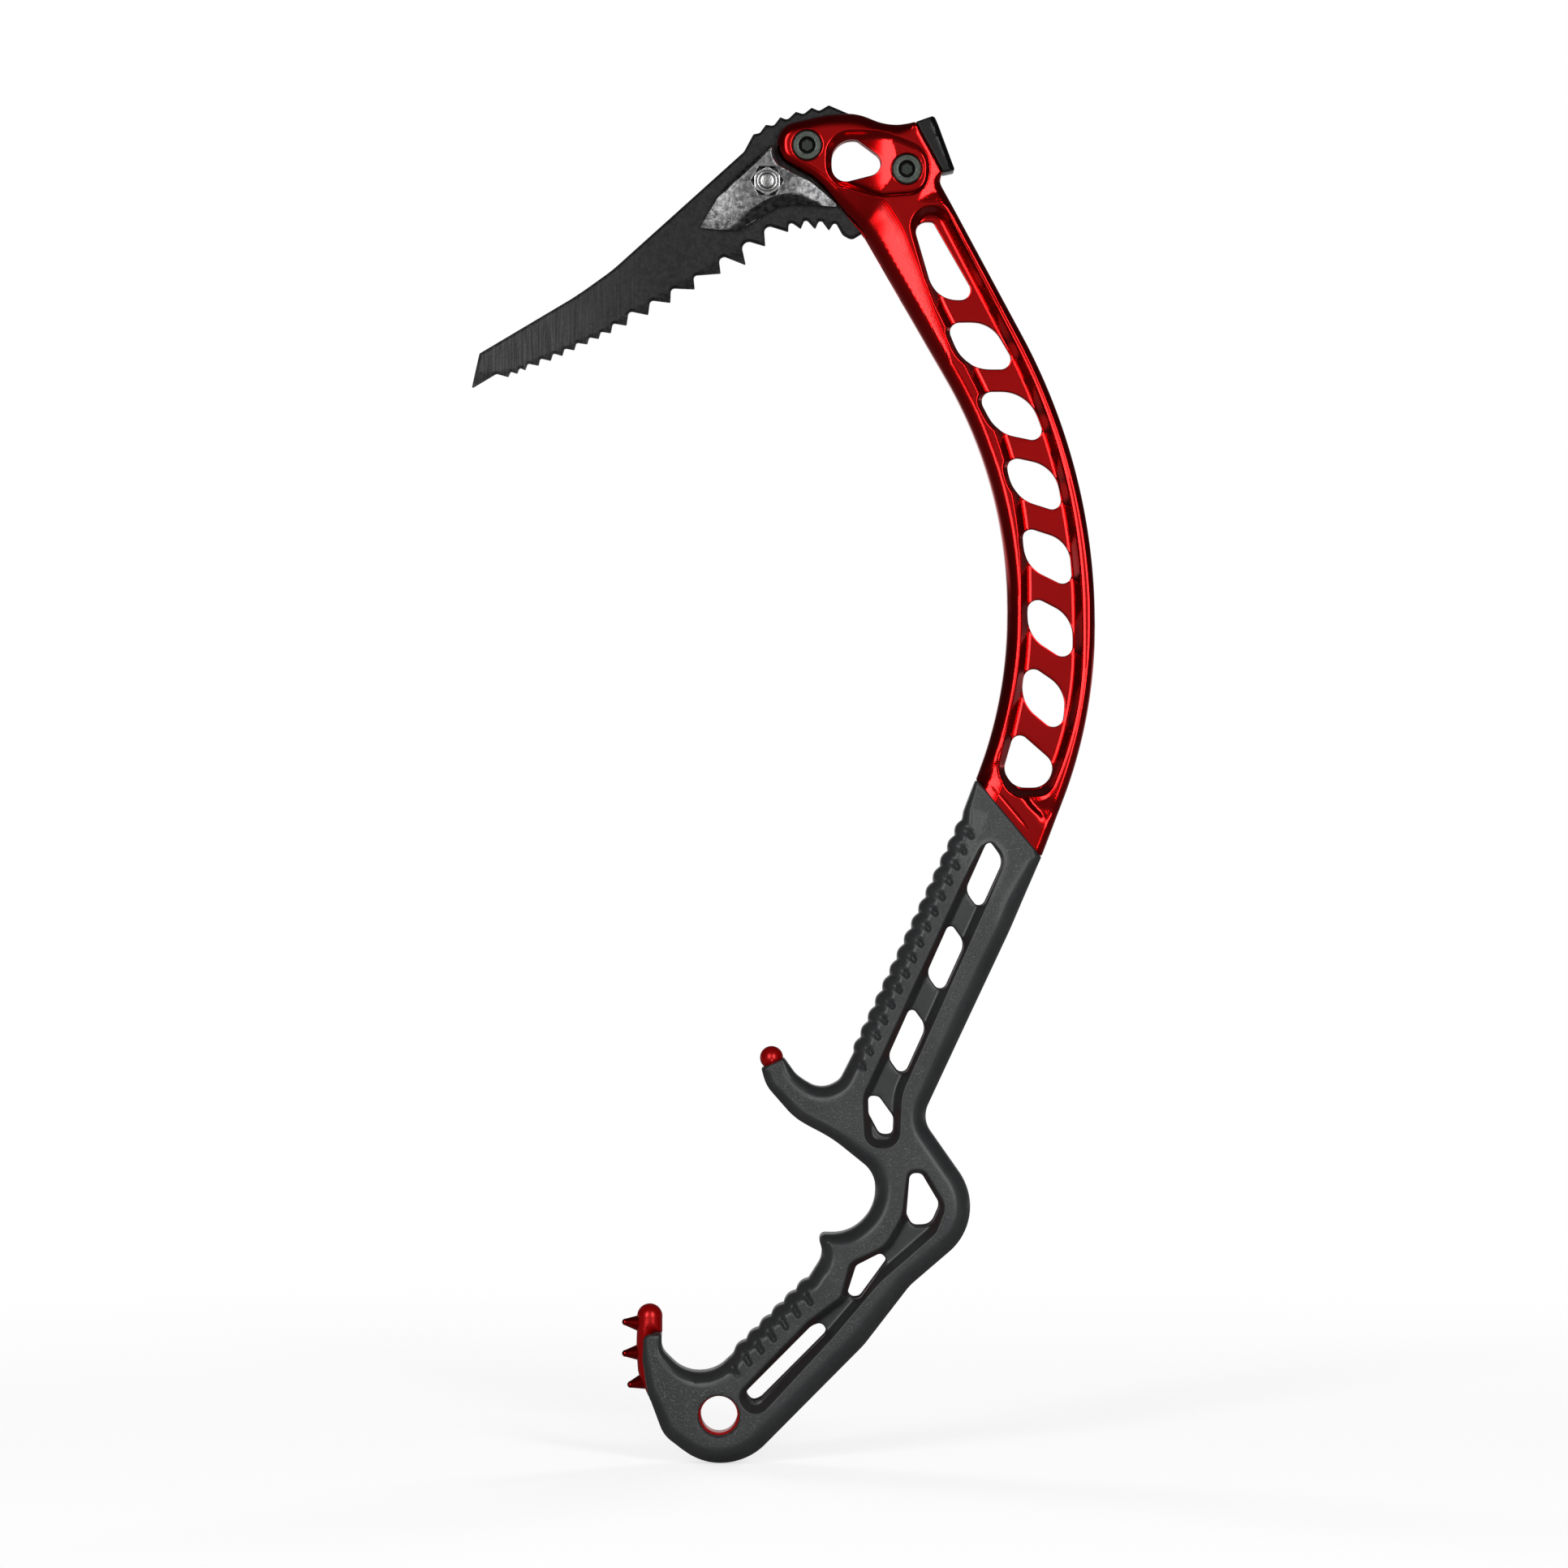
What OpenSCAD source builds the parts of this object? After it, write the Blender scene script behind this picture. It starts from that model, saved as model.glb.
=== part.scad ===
/* [Frame] */
// Thickness of the frame at the head and along both rails
frame_t = 17; // [16:0.5:18]
// Radius that rounds the edges of the frame
frame_edge = 2.4; // [1:0.2:2.6]
// Thickness of the web left between the side pockets of the shaft
web_t = 5; // [4:0.5:8]
// Thickness of the cheeks measured over the shallow head recess
recess_t = 12; // [11:0.5:13]
// Thickness of the tang that the grip is moulded over
tang_t = 10; // [8:0.5:11]
// Bore radius of the clip-in eye in the pommel
eye_r = 6.75; // [6:0.05:7]
// Radius of the ball at the end of the finger rest
rest_ball_r = 4.3; // [4:0.1:4.4]
// Radius of the round end of the pommel hook
hook_end_r = 4.7; // [4.5:0.1:4.8]
// Number of spikes on the outer edge of the pommel
spikes = 3; // [1:1:3]
// Height of each pommel spike
spike_h = 4; // [2:0.5:4.5]

/* [Head slot and pick] */
// Thickness of the pick and of the tang of the hammer
pick_t = 4; // [3:0.2:5]
// Gap left on each side between the slot walls and the steel
slot_gap = 0.1; // [0.05:0.05:0.3]

/* [Grip] */
// Full thickness of the rubber grip
grip_t = 26; // [24:0.5:30]
// Thickness of the grip over the floors of its side channels
channel_t = 14; // [13:0.5:18]
// Thickness of the grip at the tip of the finger rest
rest_t = 11; // [11:0.5:16]
// Thickness of the grip at the outer edge of the pommel
pommel_t = 13; // [12:0.5:20]
// How far the top end of the grip stands proud of the frame
proud = 0.5; // [0:0.25:1.5]
// How far the rounding of the grip reaches in from its outline
grip_edge = 2.4; // [1.5:0.1:2.6]
// How far the rounding of the grip reaches down its sides
grip_round = 6; // [3:0.5:8]
// Radius of the opening in the rubber around the clip-in eye
grip_eye_r = 7.6; // [7.4:0.1:8.5]
// Rubber left between the tang windows and the grip windows
window_skin = 1.5; // [1:0.25:2]
// How far each rib stands out
rib_h = 1.1; // [0.5:0.1:1.4]
// Number of ribs along the front of the upper grip
upper_ribs = 15; // [10:1:18]
// Number of ribs along the front of the lower grip
lower_ribs = 6; // [4:1:8]

/* [Head bolts] */
// Head radius of the bolts and barrel nuts that hold the pick and the hammer
bolt_head_r = 5.6; // [5:0.1:6]
// Head thickness of those bolts and nuts
bolt_head_t = 3.2; // [2.5:0.1:3.6]
// Shank radius of those bolts
bolt_r = 3; // [2.5:0.1:3.2]
// Outer radius of the sleeve of the barrel nuts
sleeve_r = 4; // [3.8:0.1:4.4]
// Width across the flats of the hexagon sockets
socket_w = 5; // [4:0.5:5]
// Gap around the bolt heads and sleeves
bolt_gap = 0.15; // [0.05:0.05:0.3]
// How far the front bolt heads sit below the frame
front_sink = 0.3; // [0:0.1:0.8]
// How far the rear bolt heads stand above the floor of the recess
rear_stand = 1.4; // [0.5:0.1:2]

/* [Weights] */
// Thickness of each of the two weights
weight_t = 6; // [5:0.5:6.4]
// Width of the bevel around each weight
weight_bevel = 1.8; // [0.8:0.2:2]
// Shank radius of the bolt through both weights
weight_bolt_r = 3; // [2:0.1:3.2]
// Width across the flats of the nut of that bolt
nut_w = 10; // [9:0.5:10]
// Height of that nut
nut_h = 4; // [3:0.25:4.5]

/* [Hidden] */
$fn = 96;
fine = 0.05;
slot_w = pick_t + 2 * slot_gap;
far = 80;
pick_head_y = frame_t / 2 - front_sink;
hammer_head_y = recess_t / 2 + rear_stand;
weight_face = pick_t / 2 + weight_t;
nut_sink = 0.5;
nut_floor = nut_sink + nut_h - weight_face;
bolt_end = 0.6;
socket_floor = 0.8;
end_gap = 0.3;
pick_bolt_at = [32.5, 467.9];
hammer_bolt_at = [69.3, 459.2];
weight_bolt_at = [17.8, 454.8];
rest_ball_at = [19.4, 131.4];
hook_end_at = [-25.6, 35.9];

// Outlines are lists of corners [x, z, radius], clockwise as seen from the front.
// A fourth number puts that many ribs on the straight run that starts at the corner.

seat_top = [72.4, 476.6];
seat_low = [82.4, 458.2];
joint_left = [94.9, 234.3];
joint_right = [118.9, 205.5];
neck_reach = 26;
neck_angle = atan2(joint_right[0] - joint_left[0], joint_left[1] - joint_right[1]);
neck_start = (joint_left + joint_right) / 2 - neck_reach * [cos(neck_angle), sin(neck_angle)];
rest_start = [44, 120];
rest_reach = 30;
pommel_start = [-4, 0];
pommel_reach = 26;

frame_outline = [
    [21.4, 463.2, 8], [21.3, 475.2, 8], [39, 479.3, 30], [50.5, 480.2, 20], [63, 475, 22],
    [seat_top[0], seat_top[1], 0.6], [seat_low[0], seat_low[1], 0.6], [81.4, 454.5, 3],
    [138.7, 348.1, 224], [138.7, 257.3, 178],
    [joint_right[0], joint_right[1], 0.6], [joint_left[0], joint_left[1], 0.6],
    [106.4, 265.2, 165], [106.4, 342.5, 170], [53, 435.4, 30], [40, 450.6, 30], [35, 455.6, 20]
];
shaft_pocket = [
    [70.2, 443.8, 6], [82.2, 443.8, 6], [132.5, 346.6, 220], [132.5, 258.4, 125],
    [120.5, 229, 6], [108.5, 229, 7], [104.3, 237.5, 8], [113, 276.5, 150], [113, 346, 160],
    [80, 412, 60]
];
shaft_windows = [
    [[71.3, 440.2, 4], [79, 440, 1.6], [95.5, 411.2, 3.7], [79.8, 411.2, 11]],
    [[83.3, 403, 3.8], [100.3, 403, 12], [110.5, 385.6, 3.8], [90.7, 385.6, 14]],
    [[94.4, 377.4, 3.9], [114, 377.4, 14], [121.3, 358.3, 3.6], [102.5, 362.2, 14]],
    [[105.3, 353.9, 3.8], [124, 349.8, 12.5], [127.2, 332.4, 3.3], [108.6, 338.3, 14]],
    [[111.7, 327.9, 3.3], [129.2, 322.2, 11], [130.7, 304.2, 3.4], [113, 312.9, 13]],
    [[113.9, 303, 3.9], [130.6, 294.3, 12], [130.6, 276.4, 3.8], [114, 287.2, 13]],
    [[113.3, 277.7, 3.8], [128.2, 267.4, 12], [126.5, 249.9, 3.8], [111.2, 262.6, 13]],
    [[109.4, 253, 3.3], [124, 240.2, 6], [121, 231.2, 7], [109, 231.2, 7], [104.9, 237.5, 6]]
];
head_window = [[41.6, 470, 7.5], [50.8, 470.2, 3], [65.6, 459.3, 4.6], [41.6, 453.2, 5.2]];
head_recess = [
    [39.4, 473, 9], [60, 473.4, 20], [77.6, 466, 9], [77.4, 450, 8], [58, 448.6, 20],
    [39.4, 454.5, 9]
];
head_slot = [
    [5, seat_top[1] + 13.4, 1], [seat_low[0] + 7.6, seat_top[1] + 13.4, 1],
    [seat_low[0] + 7.6, seat_low[1] + 3.3, 1], [78, 452.4, 3], [61, 446.5, 4], [57, 437, 3],
    [48, 428, 1], [10, 440, 1]
];
tang_outline = [
    [98, 231.6, 0.5], [117.2, 208.6, 0.5], [104, 180.5, 100], [71, 109.3, 13], [96, 73, 18],
    [68.2, 50.2, 20], [50.6, 27.6, 30], [3, -20.2, 19], [-18.4, -5.4, 10], [-26.2, 6.6, 1.5],
    [-29.9, 15, 8], [-30.6, 24, 20], [-30.2, 36, 1.5], [-20.95, 36, 0.5],
    [-20.95, 29.8, 0.5], [-24.7, 29.8, 0.4], [-24.7, 23.2, 8], [-14.6, 12.2, 14],
    [0.5, 12.6, 14], [41.5, 54.3, 6], [41.5, 62.8, 1.5], [49.5, 63.2, 14],
    [61.1, 74.8, 16], [61.1, 90.8, 12], [45, 104.5, 40], [30.5, 112.3, 25], [20.6, 123.6, 20],
    [17.8, 131, 0.5], [20.9, 131, 0.5], [25.3, 124.8, 12], [37.3, 115.6, 11],
    [47.4, 120.4, 8], [53, 131.9, 30], [92.4, 218.1, 10]
];
grip_outline = [
    [joint_left[0], joint_left[1], 0.6], [joint_right[0], joint_right[1], 0.6],
    [107.5, 179, 200], [74.8, 109.1, 10], [100.2, 72.9, 22], [70.5, 47.4, 20],
    [53.5, 25.4, 30], [3, -25.4, 23], [-20.5, -7.9, 12], [-26.4, 8, 12], [-28.2, 20, 12],
    [-27.8, 29.7, 3], [-21.2, 29.7, 0.6], [-21.4, 24.1, 6], [-13, 15.7, 13.6],
    [-1, 15.7, 13.6], [5.5, 22.7, 1, lower_ribs], [33.1, 50.1, 1], [38.6, 58.8, 8],
    [36.3, 66.7, 2.2], [48.1, 66.6, 16], [57.7, 76.2, 16], [57.7, 88.9, 11.5], [42, 101.6, 50],
    [28, 109, 25], [17.3, 121.2, 14], [15.6, 127.6, 0.6], [24, 131.4, 0.6], [28.6, 125, 10],
    [37.5, 119.4, 9], [44.6, 123.2, 6], [49.7, 133.2, 1, upper_ribs], [89.8, 219.4, 1],
    [90.4, 222.6, 6]
];
upper_channel = [
    [98.2, 213.4, 4], [106.1, 206.5, 6], [66.6, 118.5, 20], [65.8, 99.3, 5], [54.4, 99.3, 5],
    [53.6, 117.5, 12]
];
lower_channel = [
    [70, 90, 2.5], [75.4, 90, 3], [83, 77.2, 6], [79.4, 67.8, 6], [58.5, 49.5, 40],
    [41.5, 29.5, 30], [13, -1.4, 5], [7, 7.4, 4], [33, 34.2, 8], [45.4, 43.4, 5],
    [48.6, 56, 4], [61.5, 62, 12], [68, 73.5, 12]
];
grip_window = [[99.4, 212.6, 1.8], [105.3, 204.3, 6], [96.6, 185.2, 2.5], [90.8, 193.3, 5]];
grip_window_step = [-14.3, -30.8];
low_windows = [
    [[55, 117.6, 1.5], [58.9, 117.4, 2.5], [64.5, 109.6, 5], [64.2, 103, 2], [59.4, 102.9, 3],
     [55.2, 110.8, 6]],
    [[70.3, 89.1, 2.2], [74.6, 89.2, 2.5], [81.7, 77.2, 4.5], [78.2, 69.6, 4.5],
     [71.4, 69.3, 3], [69.1, 74, 4]],
    [[50.6, 55.1, 2.5], [59.7, 59.8, 2], [62.1, 57, 1.8], [52, 43, 2.5], [46.6, 42.6, 2.5]],
    [[33.8, 32.5, 2.9], [37.8, 34.3, 2.4], [40.2, 30.5, 2.8], [15.6, 5.9, 2.8],
     [12.4, 4.4, 2.2], [9.3, 8, 2.4]]
];

pick_spine = [
    [38.8, 467, 5], [44, 472.8, 4], [51.5, 474, 2], [52, 478.3, 1], [40.5, 483.2, 0.4],
    [37, 481.1, 1.5], [34.2, 482.3, 0.3], [31.2, 479.9, 1.5], [28.4, 480.8, 0.3],
    [25.2, 477.8, 1.5], [22.6, 478.8, 0.3], [20.2, 475.6, 1.5], [17.3, 476, 0.3],
    [15, 472.9, 1.5], [12.7, 472.5, 0.4], [9.2, 466, 4], [-39.6, 422.1, 60],
    [-53, 412.6, 60], [-88.5, 391.5, 0.8], [-91.4, 378.6, 0.3], [-82.3, 384.1, 1]
];
// Teeth of the pick from its point backwards: tip x, tip z, lean and height of the gullet
teeth = [
    [-77.9, 382.9, 0.9, 2], [-74.6, 384.1, 0.9, 2.2], [-71.6, 385.4, 0.9, 2.5],
    [-66.7, 387.1, 0.6, 2.7], [-62.2, 388.9, 0.9, 2.8], [-57.9, 390.7, 0.8, 2.8],
    [-53.5, 392.8, 0.8, 2.8], [-48.7, 395, 0.7, 2.6], [-44.5, 397, 0.8, 2.7],
    [-40, 399.1, 0.7, 3.7], [-34.2, 401.9, 0.8, 5.4], [-26.2, 405.8, 0.7, 5.5],
    [-18, 410.3, 0.2, 5.4], [-9, 415.3, -0.5, 5.1], [0.6, 421.1, -0.9, 7.2],
    [9.9, 424.2, -2.2, 9.8], [17.1, 431.2, -0.6, 8.1], [25.6, 436.5, 0.1, 4.3],
    [30.2, 437.6, 1.6, 4], [35.5, 437.5, 1.8, 4], [40.6, 437, 2.2, 3.5]
];
pick_tail = [
    [45.6, 435.4, 2], [49, 433.5, 2.5], [55, 437.2, 2], [58.4, 445.6, 3], [51, 449.4, 6],
    [42.4, 452, 5], [38.8, 458.4, 5]
];
// Corners of the striking block: distance along the seat, distance out from it, radius
hammer_outline = concat(
    [for (c = [[0.15, 0, 0.5], [1.3, 7.2, 1.4], [5.5, 6.8, 30]]) on_seat(seat_top, c)],
    [for (c = [[1.7, 4.3, 0.6], [0.45, 0, 0.5]]) on_seat(seat_low, c)]
);
hammer_tang = [
    on_seat(seat_top, [4, 1.9, 1]), on_seat(seat_low, [-3.4, 1.6, 1]), [79, 455.2, 3],
    [71, 450.8, 4], [63.6, 453, 4], [61.6, 462, 4], [63.5, 470.6, 5]
];
weight_outline = [
    [-7.2, 437.7, 0.6], [2.4, 452.9, 40], [19.8, 468.9, 0.8], [20.3, 462, 5], [34.4, 454, 20],
    [44.6, 445.4, 0.6], [23, 446.6, 20], [7, 436.5, 10]
];

frame_red = [0.72, 0.04, 0.05];
rubber = [0.24, 0.24, 0.25];
steel_black = [0.12, 0.12, 0.13];
cast_silver = [0.78, 0.78, 0.78];
bolt_grey = [0.36, 0.39, 0.37];

function unit(v) = v / norm(v);
function turned(v, angle) =
    [v[0] * cos(angle) - v[1] * sin(angle), v[0] * sin(angle) + v[1] * cos(angle)];
function flat(c) = [c[0], c[1]];
function heading(p, q) = unit(flat(q) - flat(p));

// A corner given from the point p of the seat of the striking block
function on_seat(p, c) =
    let (along = unit(seat_low - seat_top))
    concat(p + c[0] * along + c[1] * [-along[1], along[0]], [c[2]]);

// The rounded corner q between p and s, moved inwards by inset
function corner(p, q, s, inset) =
    let (a = heading(p, q), b = heading(q, s), turn = acos(a * b))
    let (side = a[0] * b[1] - a[1] * b[0] > 0 ? 1 : -1)
    let (steps = max(1, ceil(turn / (2 * acos(1 - fine / max(q[2], 0.4))))))
    let (r = max(q[2] + side * inset, 0.05))
    let (tip = flat(q) + inset * [a[1] + b[1], -a[0] - b[0]] / (1 + a * b))
    let (start = tip - a * r * tan(turn / 2))
    let (centre = start + side * r * [-a[1], a[0]])
    [for (k = [0:steps]) centre + turned(start - centre, side * turn * k / steps)];

// Ribs that stand out from the straight run p to q
function ribs(p, q, count, height) =
    let (out = [p[1] - q[1], q[0] - p[0]] / norm(q - p))
    [for (k = [1:count * 4 - 1])
        p + (q - p) * k / (count * 4) + out * height * abs(sin(45 * k))];

function corners_at(outline, inset) =
    let (n = len(outline))
    [for (i = [0:n - 1])
        corner(outline[(i + n - 1) % n], outline[i], outline[(i + 1) % n], inset)];

function loop(outline, inset = 0) =
    let (arcs = corners_at(outline, inset), n = len(outline))
    [for (i = [0:n - 1]) each len(outline[i]) < 4 ? arcs[i] : concat(arcs[i],
        ribs(arcs[i][len(arcs[i]) - 1], arcs[(i + 1) % n][0], outline[i][3],
             rib_h * (1 - 0.3 * inset)))];

// Splits a clockwise loop into triangles by cutting off one ear after another
function outside(p, a, b, c) =
    cross(b - a, p - a) > 0 || cross(c - b, p - b) > 0 || cross(a - c, p - c) > 0;
function is_ear(pts, ids, i) =
    let (n = len(ids), a = pts[ids[(i + n - 1) % n]], b = pts[ids[i]], c = pts[ids[(i + 1) % n]])
    cross(b - a, c - b) < -1e-9 &&
        min([for (k = [2:n - 2]) outside(pts[ids[(i + k) % n]], a, b, c) ? 1 : 0]) == 1;
function ears(pts, ids, i = 0, done = []) =
    len(ids) == 3 ? concat(done, [ids]) :
    let (n = len(ids))
    is_ear(pts, ids, i) ?
        ears(pts, [for (k = [0:n - 1]) if (k != i) ids[k]], (i + 1) % (n - 1),
             concat(done, [[ids[(i + n - 1) % n], ids[i], ids[(i + 1) % n]]])) :
        ears(pts, ids, (i + 1) % n, done);

// A flat sheet of thickness t on the mid-plane, with the 2D child as its outline
module sheet(t) {
    rotate([90, 0, 0]) linear_extrude(height = t, center = true) children();
}

module shape(outline, inset = 0) {
    polygon(loop(outline, inset));
}

// Cuts on both sides that leave thickness t standing
module both_sides(t) {
    for (s = [-1, 1])
        translate([0, s * (t + far) / 2, 0]) sheet(far) children();
}

// A cylinder across the frame, from y0 to y1
module across(at, r, y0, y1) {
    translate([at[0], y1, at[1]]) rotate([90, 0, 0]) cylinder(r = r, h = y1 - y0);
}

// A plate with rounded edges; levels are [y, inset] from one face to the other
module rounded_plate(outline, levels) {
    rings = [for (v = levels) loop(outline, v[1])];
    n = len(rings[0]);
    last = len(levels) - 1;
    cap = ears(rings[0], [for (i = [0:n - 1]) i]);
    end_cap = ears(rings[last], [for (i = [0:n - 1]) i]);
    points = [for (j = [0:last]) each [for (p = rings[j]) [p[0], levels[j][0], p[1]]]];
    walls = [for (j = [0:last - 1], i = [0:n - 1]) each
        let (a = j * n + i, b = j * n + (i + 1) % n)
        [[b, a, a + n], [b + n, b, a + n]]];
    polyhedron(points, concat(cap, walls,
        [for (t = end_cap) [for (k = [2:-1:0]) t[k] + last * n]]));
}

// Levels of a plate of thickness t whose edges are rounded over reach and drop
function round_levels(t, reach, drop, steps) =
    let (half = [for (k = [0:steps])
        [t / 2 - drop + drop * sin(90 * k / steps), reach * (1 - cos(90 * k / steps))]])
    concat([for (k = [steps:-1:0]) [-half[k][0], half[k][1]]], half);

module grip_windows(inset) {
    for (k = [0:2])
        translate(k * grip_window_step) shape(grip_window, inset);
    for (w = low_windows)
        shape(w, inset);
}

module tang() {
    difference() {
        sheet(tang_t) shape(tang_outline);
        sheet(far) grip_windows(-window_skin);
    }
    translate([rest_ball_at[0], 0, rest_ball_at[1]]) sphere(r = rest_ball_r);
    across(hook_end_at, hook_end_r, -tang_t / 2, tang_t / 2);
}

module spike(at, angle) {
    translate([at[0], 0, at[1]]) rotate([0, angle, 0]) {
        cylinder(r1 = 3, r2 = 1.3, h = spike_h + 0.8);
        translate([0, 0, spike_h + 0.5]) sphere(r = 1.35);
    }
}

// Seats for the head bolts: a sleeve hole and a counterbore on each face down to y
module bolt_seat(at, y) {
    across(at, sleeve_r + bolt_gap, -far, far);
    across(at, bolt_head_r + bolt_gap, y, far);
    across(at, bolt_head_r + bolt_gap, -far, -y);
}

module frame() {
    color(frame_red) {
        difference() {
            rounded_plate(frame_outline, round_levels(frame_t, frame_edge, frame_edge, 4));
            both_sides(web_t) shape(shaft_pocket);
            both_sides(recess_t) shape(head_recess);
            sheet(far) for (w = shaft_windows) shape(w);
            sheet(far) shape(head_window);
            sheet(slot_w) shape(head_slot);
            bolt_seat(pick_bolt_at, pick_head_y - bolt_head_t);
            bolt_seat(hammer_bolt_at, hammer_head_y - bolt_head_t);
        }
        difference() {
            tang();
            across([0, 0], eye_r, -far, far);
        }
        for (k = [0:spikes - 1])
            spike([[-29.8, 33.3], [-29.8, 22.8], [-28, 11.8]][k], [-90, -90, -84][k]);
    }
}

// Cuts that slope both faces of the grip down to thickness end_t at the distance reach from
// the point at, in the direction angle, over a strip that is width wide
module taper(at, angle, reach, end_t, width) {
    slope = (grip_t - end_t) / 2 / reach;
    translate([at[0], 0, at[1]]) rotate([0, -angle, 0])
        linear_extrude(height = width, center = true)
            for (s = [-1, 1])
                polygon([for (c = [[-1, slope], [far, -slope * far], [far, far], [-1, far]])
                    [c[0], s * (grip_t / 2 + c[1])]]);
}

module grip() {
    color(rubber) difference() {
        rounded_plate(grip_outline, round_levels(grip_t, grip_edge, grip_round, 4));
        both_sides(channel_t) shape(upper_channel);
        both_sides(channel_t) shape(lower_channel);
        sheet(far) grip_windows(0);
        tang();
        across([0, 0], grip_eye_r, -far, far);
        taper(rest_start, 180, rest_reach, rest_t, 50);
        taper(pommel_start, 180, pommel_reach, pommel_t, 90);
        taper(neck_start, neck_angle, neck_reach, frame_t + 2 * proud, 60);
    }
}

pick_outline = concat(pick_spine,
    [for (t = teeth) each [[t[0], t[1], 0.3], [t[0] + t[2], t[1] + t[3], 0.26 * t[3]]]],
    pick_tail);

module pick() {
    color(steel_black) difference() {
        sheet(pick_t) shape(pick_outline);
        across(pick_bolt_at, sleeve_r + bolt_gap, -far, far);
        across(weight_bolt_at, weight_bolt_r + bolt_gap, -far, far);
    }
}

module weight(side) {
    near = pick_t / 2;
    color(cast_silver) difference() {
        rounded_plate(weight_outline, side > 0 ?
            [[near, 0], [weight_face - weight_bevel, 0], [weight_face, weight_bevel]] :
            [[-weight_face, weight_bevel], [weight_bevel - weight_face, 0], [-near, 0]]);
        across(weight_bolt_at, weight_bolt_r + bolt_gap, -far, far);
        if (side > 0)
            across(weight_bolt_at, bolt_head_r + bolt_gap, weight_face - bolt_head_t, far);
        else
            translate([weight_bolt_at[0], nut_floor, weight_bolt_at[1]]) rotate([90, 0, 0])
                cylinder(r = nut_w / 2 / cos(30) + bolt_gap, h = far, $fn = 6);
    }
}

module weight_bolt() {
    color(bolt_grey) difference() {
        union() {
            across(weight_bolt_at, weight_bolt_r, -weight_face - bolt_end, weight_face);
            across(weight_bolt_at, bolt_head_r, weight_face - bolt_head_t, weight_face);
        }
        hex_socket(weight_bolt_at, weight_face, 1);
    }
}

module weight_nut() {
    color(bolt_grey) difference() {
        translate([weight_bolt_at[0], nut_floor, weight_bolt_at[1]]) rotate([90, 0, 0])
            cylinder(r = nut_w / 2 / cos(30), h = nut_h, $fn = 6);
        across(weight_bolt_at, weight_bolt_r, -far, far);
    }
}

module hammer() {
    color(steel_black) {
        rounded_plate(hammer_outline, round_levels(frame_t, 0.5, 1.2, 2));
        difference() {
            sheet(pick_t) shape(hammer_tang);
            across(hammer_bolt_at, sleeve_r + bolt_gap, -far, far);
        }
    }
}

// A hexagon socket sunk into a face at y; side is -1 for the front face
module hex_socket(at, y, side) {
    depth = bolt_head_t - socket_floor;
    translate([at[0], side * (y - depth), at[1]]) rotate([-90 * side, 0, 0])
        cylinder(r = socket_w / 2 / cos(30), h = far, $fn = 6);
}

module head_bolt(at, head_y) {
    color(bolt_grey) difference() {
        union() {
            across(at, bolt_head_r, -head_y, bolt_head_t - head_y);
            across(at, bolt_r, -head_y, head_y - bolt_head_t - 2 * end_gap);
        }
        hex_socket(at, head_y, -1);
    }
}

module barrel_nut(at, head_y) {
    color(bolt_grey) difference() {
        union() {
            across(at, bolt_head_r, head_y - bolt_head_t, head_y);
            across(at, sleeve_r, bolt_head_t - head_y + end_gap, head_y);
        }
        across(at, bolt_r, -far, head_y - bolt_head_t - end_gap);
    }
}

frame();
grip();
pick();
weight(-1);  // weight_front
weight(1);  // weight_back
weight_bolt();
weight_nut();
hammer();
head_bolt(pick_bolt_at, pick_head_y);  // pick_bolt
barrel_nut(pick_bolt_at, pick_head_y);  // pick_nut
head_bolt(hammer_bolt_at, hammer_head_y);  // hammer_bolt
barrel_nut(hammer_bolt_at, hammer_head_y);  // hammer_nut
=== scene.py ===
import math

import bmesh
import bpy
import numpy as np
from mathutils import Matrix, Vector
from mathutils.geometry import delaunay_2d_cdt
from mathutils.kdtree import KDTree


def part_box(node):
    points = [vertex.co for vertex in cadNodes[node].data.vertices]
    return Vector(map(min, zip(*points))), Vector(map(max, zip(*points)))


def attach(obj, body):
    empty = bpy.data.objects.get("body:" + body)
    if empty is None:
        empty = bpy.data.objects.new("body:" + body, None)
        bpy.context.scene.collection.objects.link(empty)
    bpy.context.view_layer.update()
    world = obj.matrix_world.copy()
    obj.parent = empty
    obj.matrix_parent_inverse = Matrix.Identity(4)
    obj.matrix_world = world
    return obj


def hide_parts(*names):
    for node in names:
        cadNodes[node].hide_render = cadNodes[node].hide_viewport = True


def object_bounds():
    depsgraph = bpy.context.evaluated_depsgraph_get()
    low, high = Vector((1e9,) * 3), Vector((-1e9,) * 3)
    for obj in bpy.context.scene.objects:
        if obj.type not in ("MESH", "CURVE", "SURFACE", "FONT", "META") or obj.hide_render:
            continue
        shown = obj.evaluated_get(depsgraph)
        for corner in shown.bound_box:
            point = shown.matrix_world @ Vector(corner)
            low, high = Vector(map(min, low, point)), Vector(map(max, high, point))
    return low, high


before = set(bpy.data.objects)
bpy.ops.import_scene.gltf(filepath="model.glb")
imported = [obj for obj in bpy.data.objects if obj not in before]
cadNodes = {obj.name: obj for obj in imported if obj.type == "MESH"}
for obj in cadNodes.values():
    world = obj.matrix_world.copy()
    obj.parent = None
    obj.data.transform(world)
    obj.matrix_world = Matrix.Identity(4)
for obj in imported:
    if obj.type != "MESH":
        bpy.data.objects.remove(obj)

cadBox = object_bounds()
mm = 0.001
satinMark = -100.0    # in markPlace, for the red surfaces that aren't milled


# Outlines. An outline is an array of x, z in mm, clockwise as seen from the front.

def treeOf(points):
    tree = KDTree(len(points))
    for i, (x, z) in enumerate(points):
        tree.insert((x, z, 0), i)
    tree.balance()
    return tree


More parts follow.
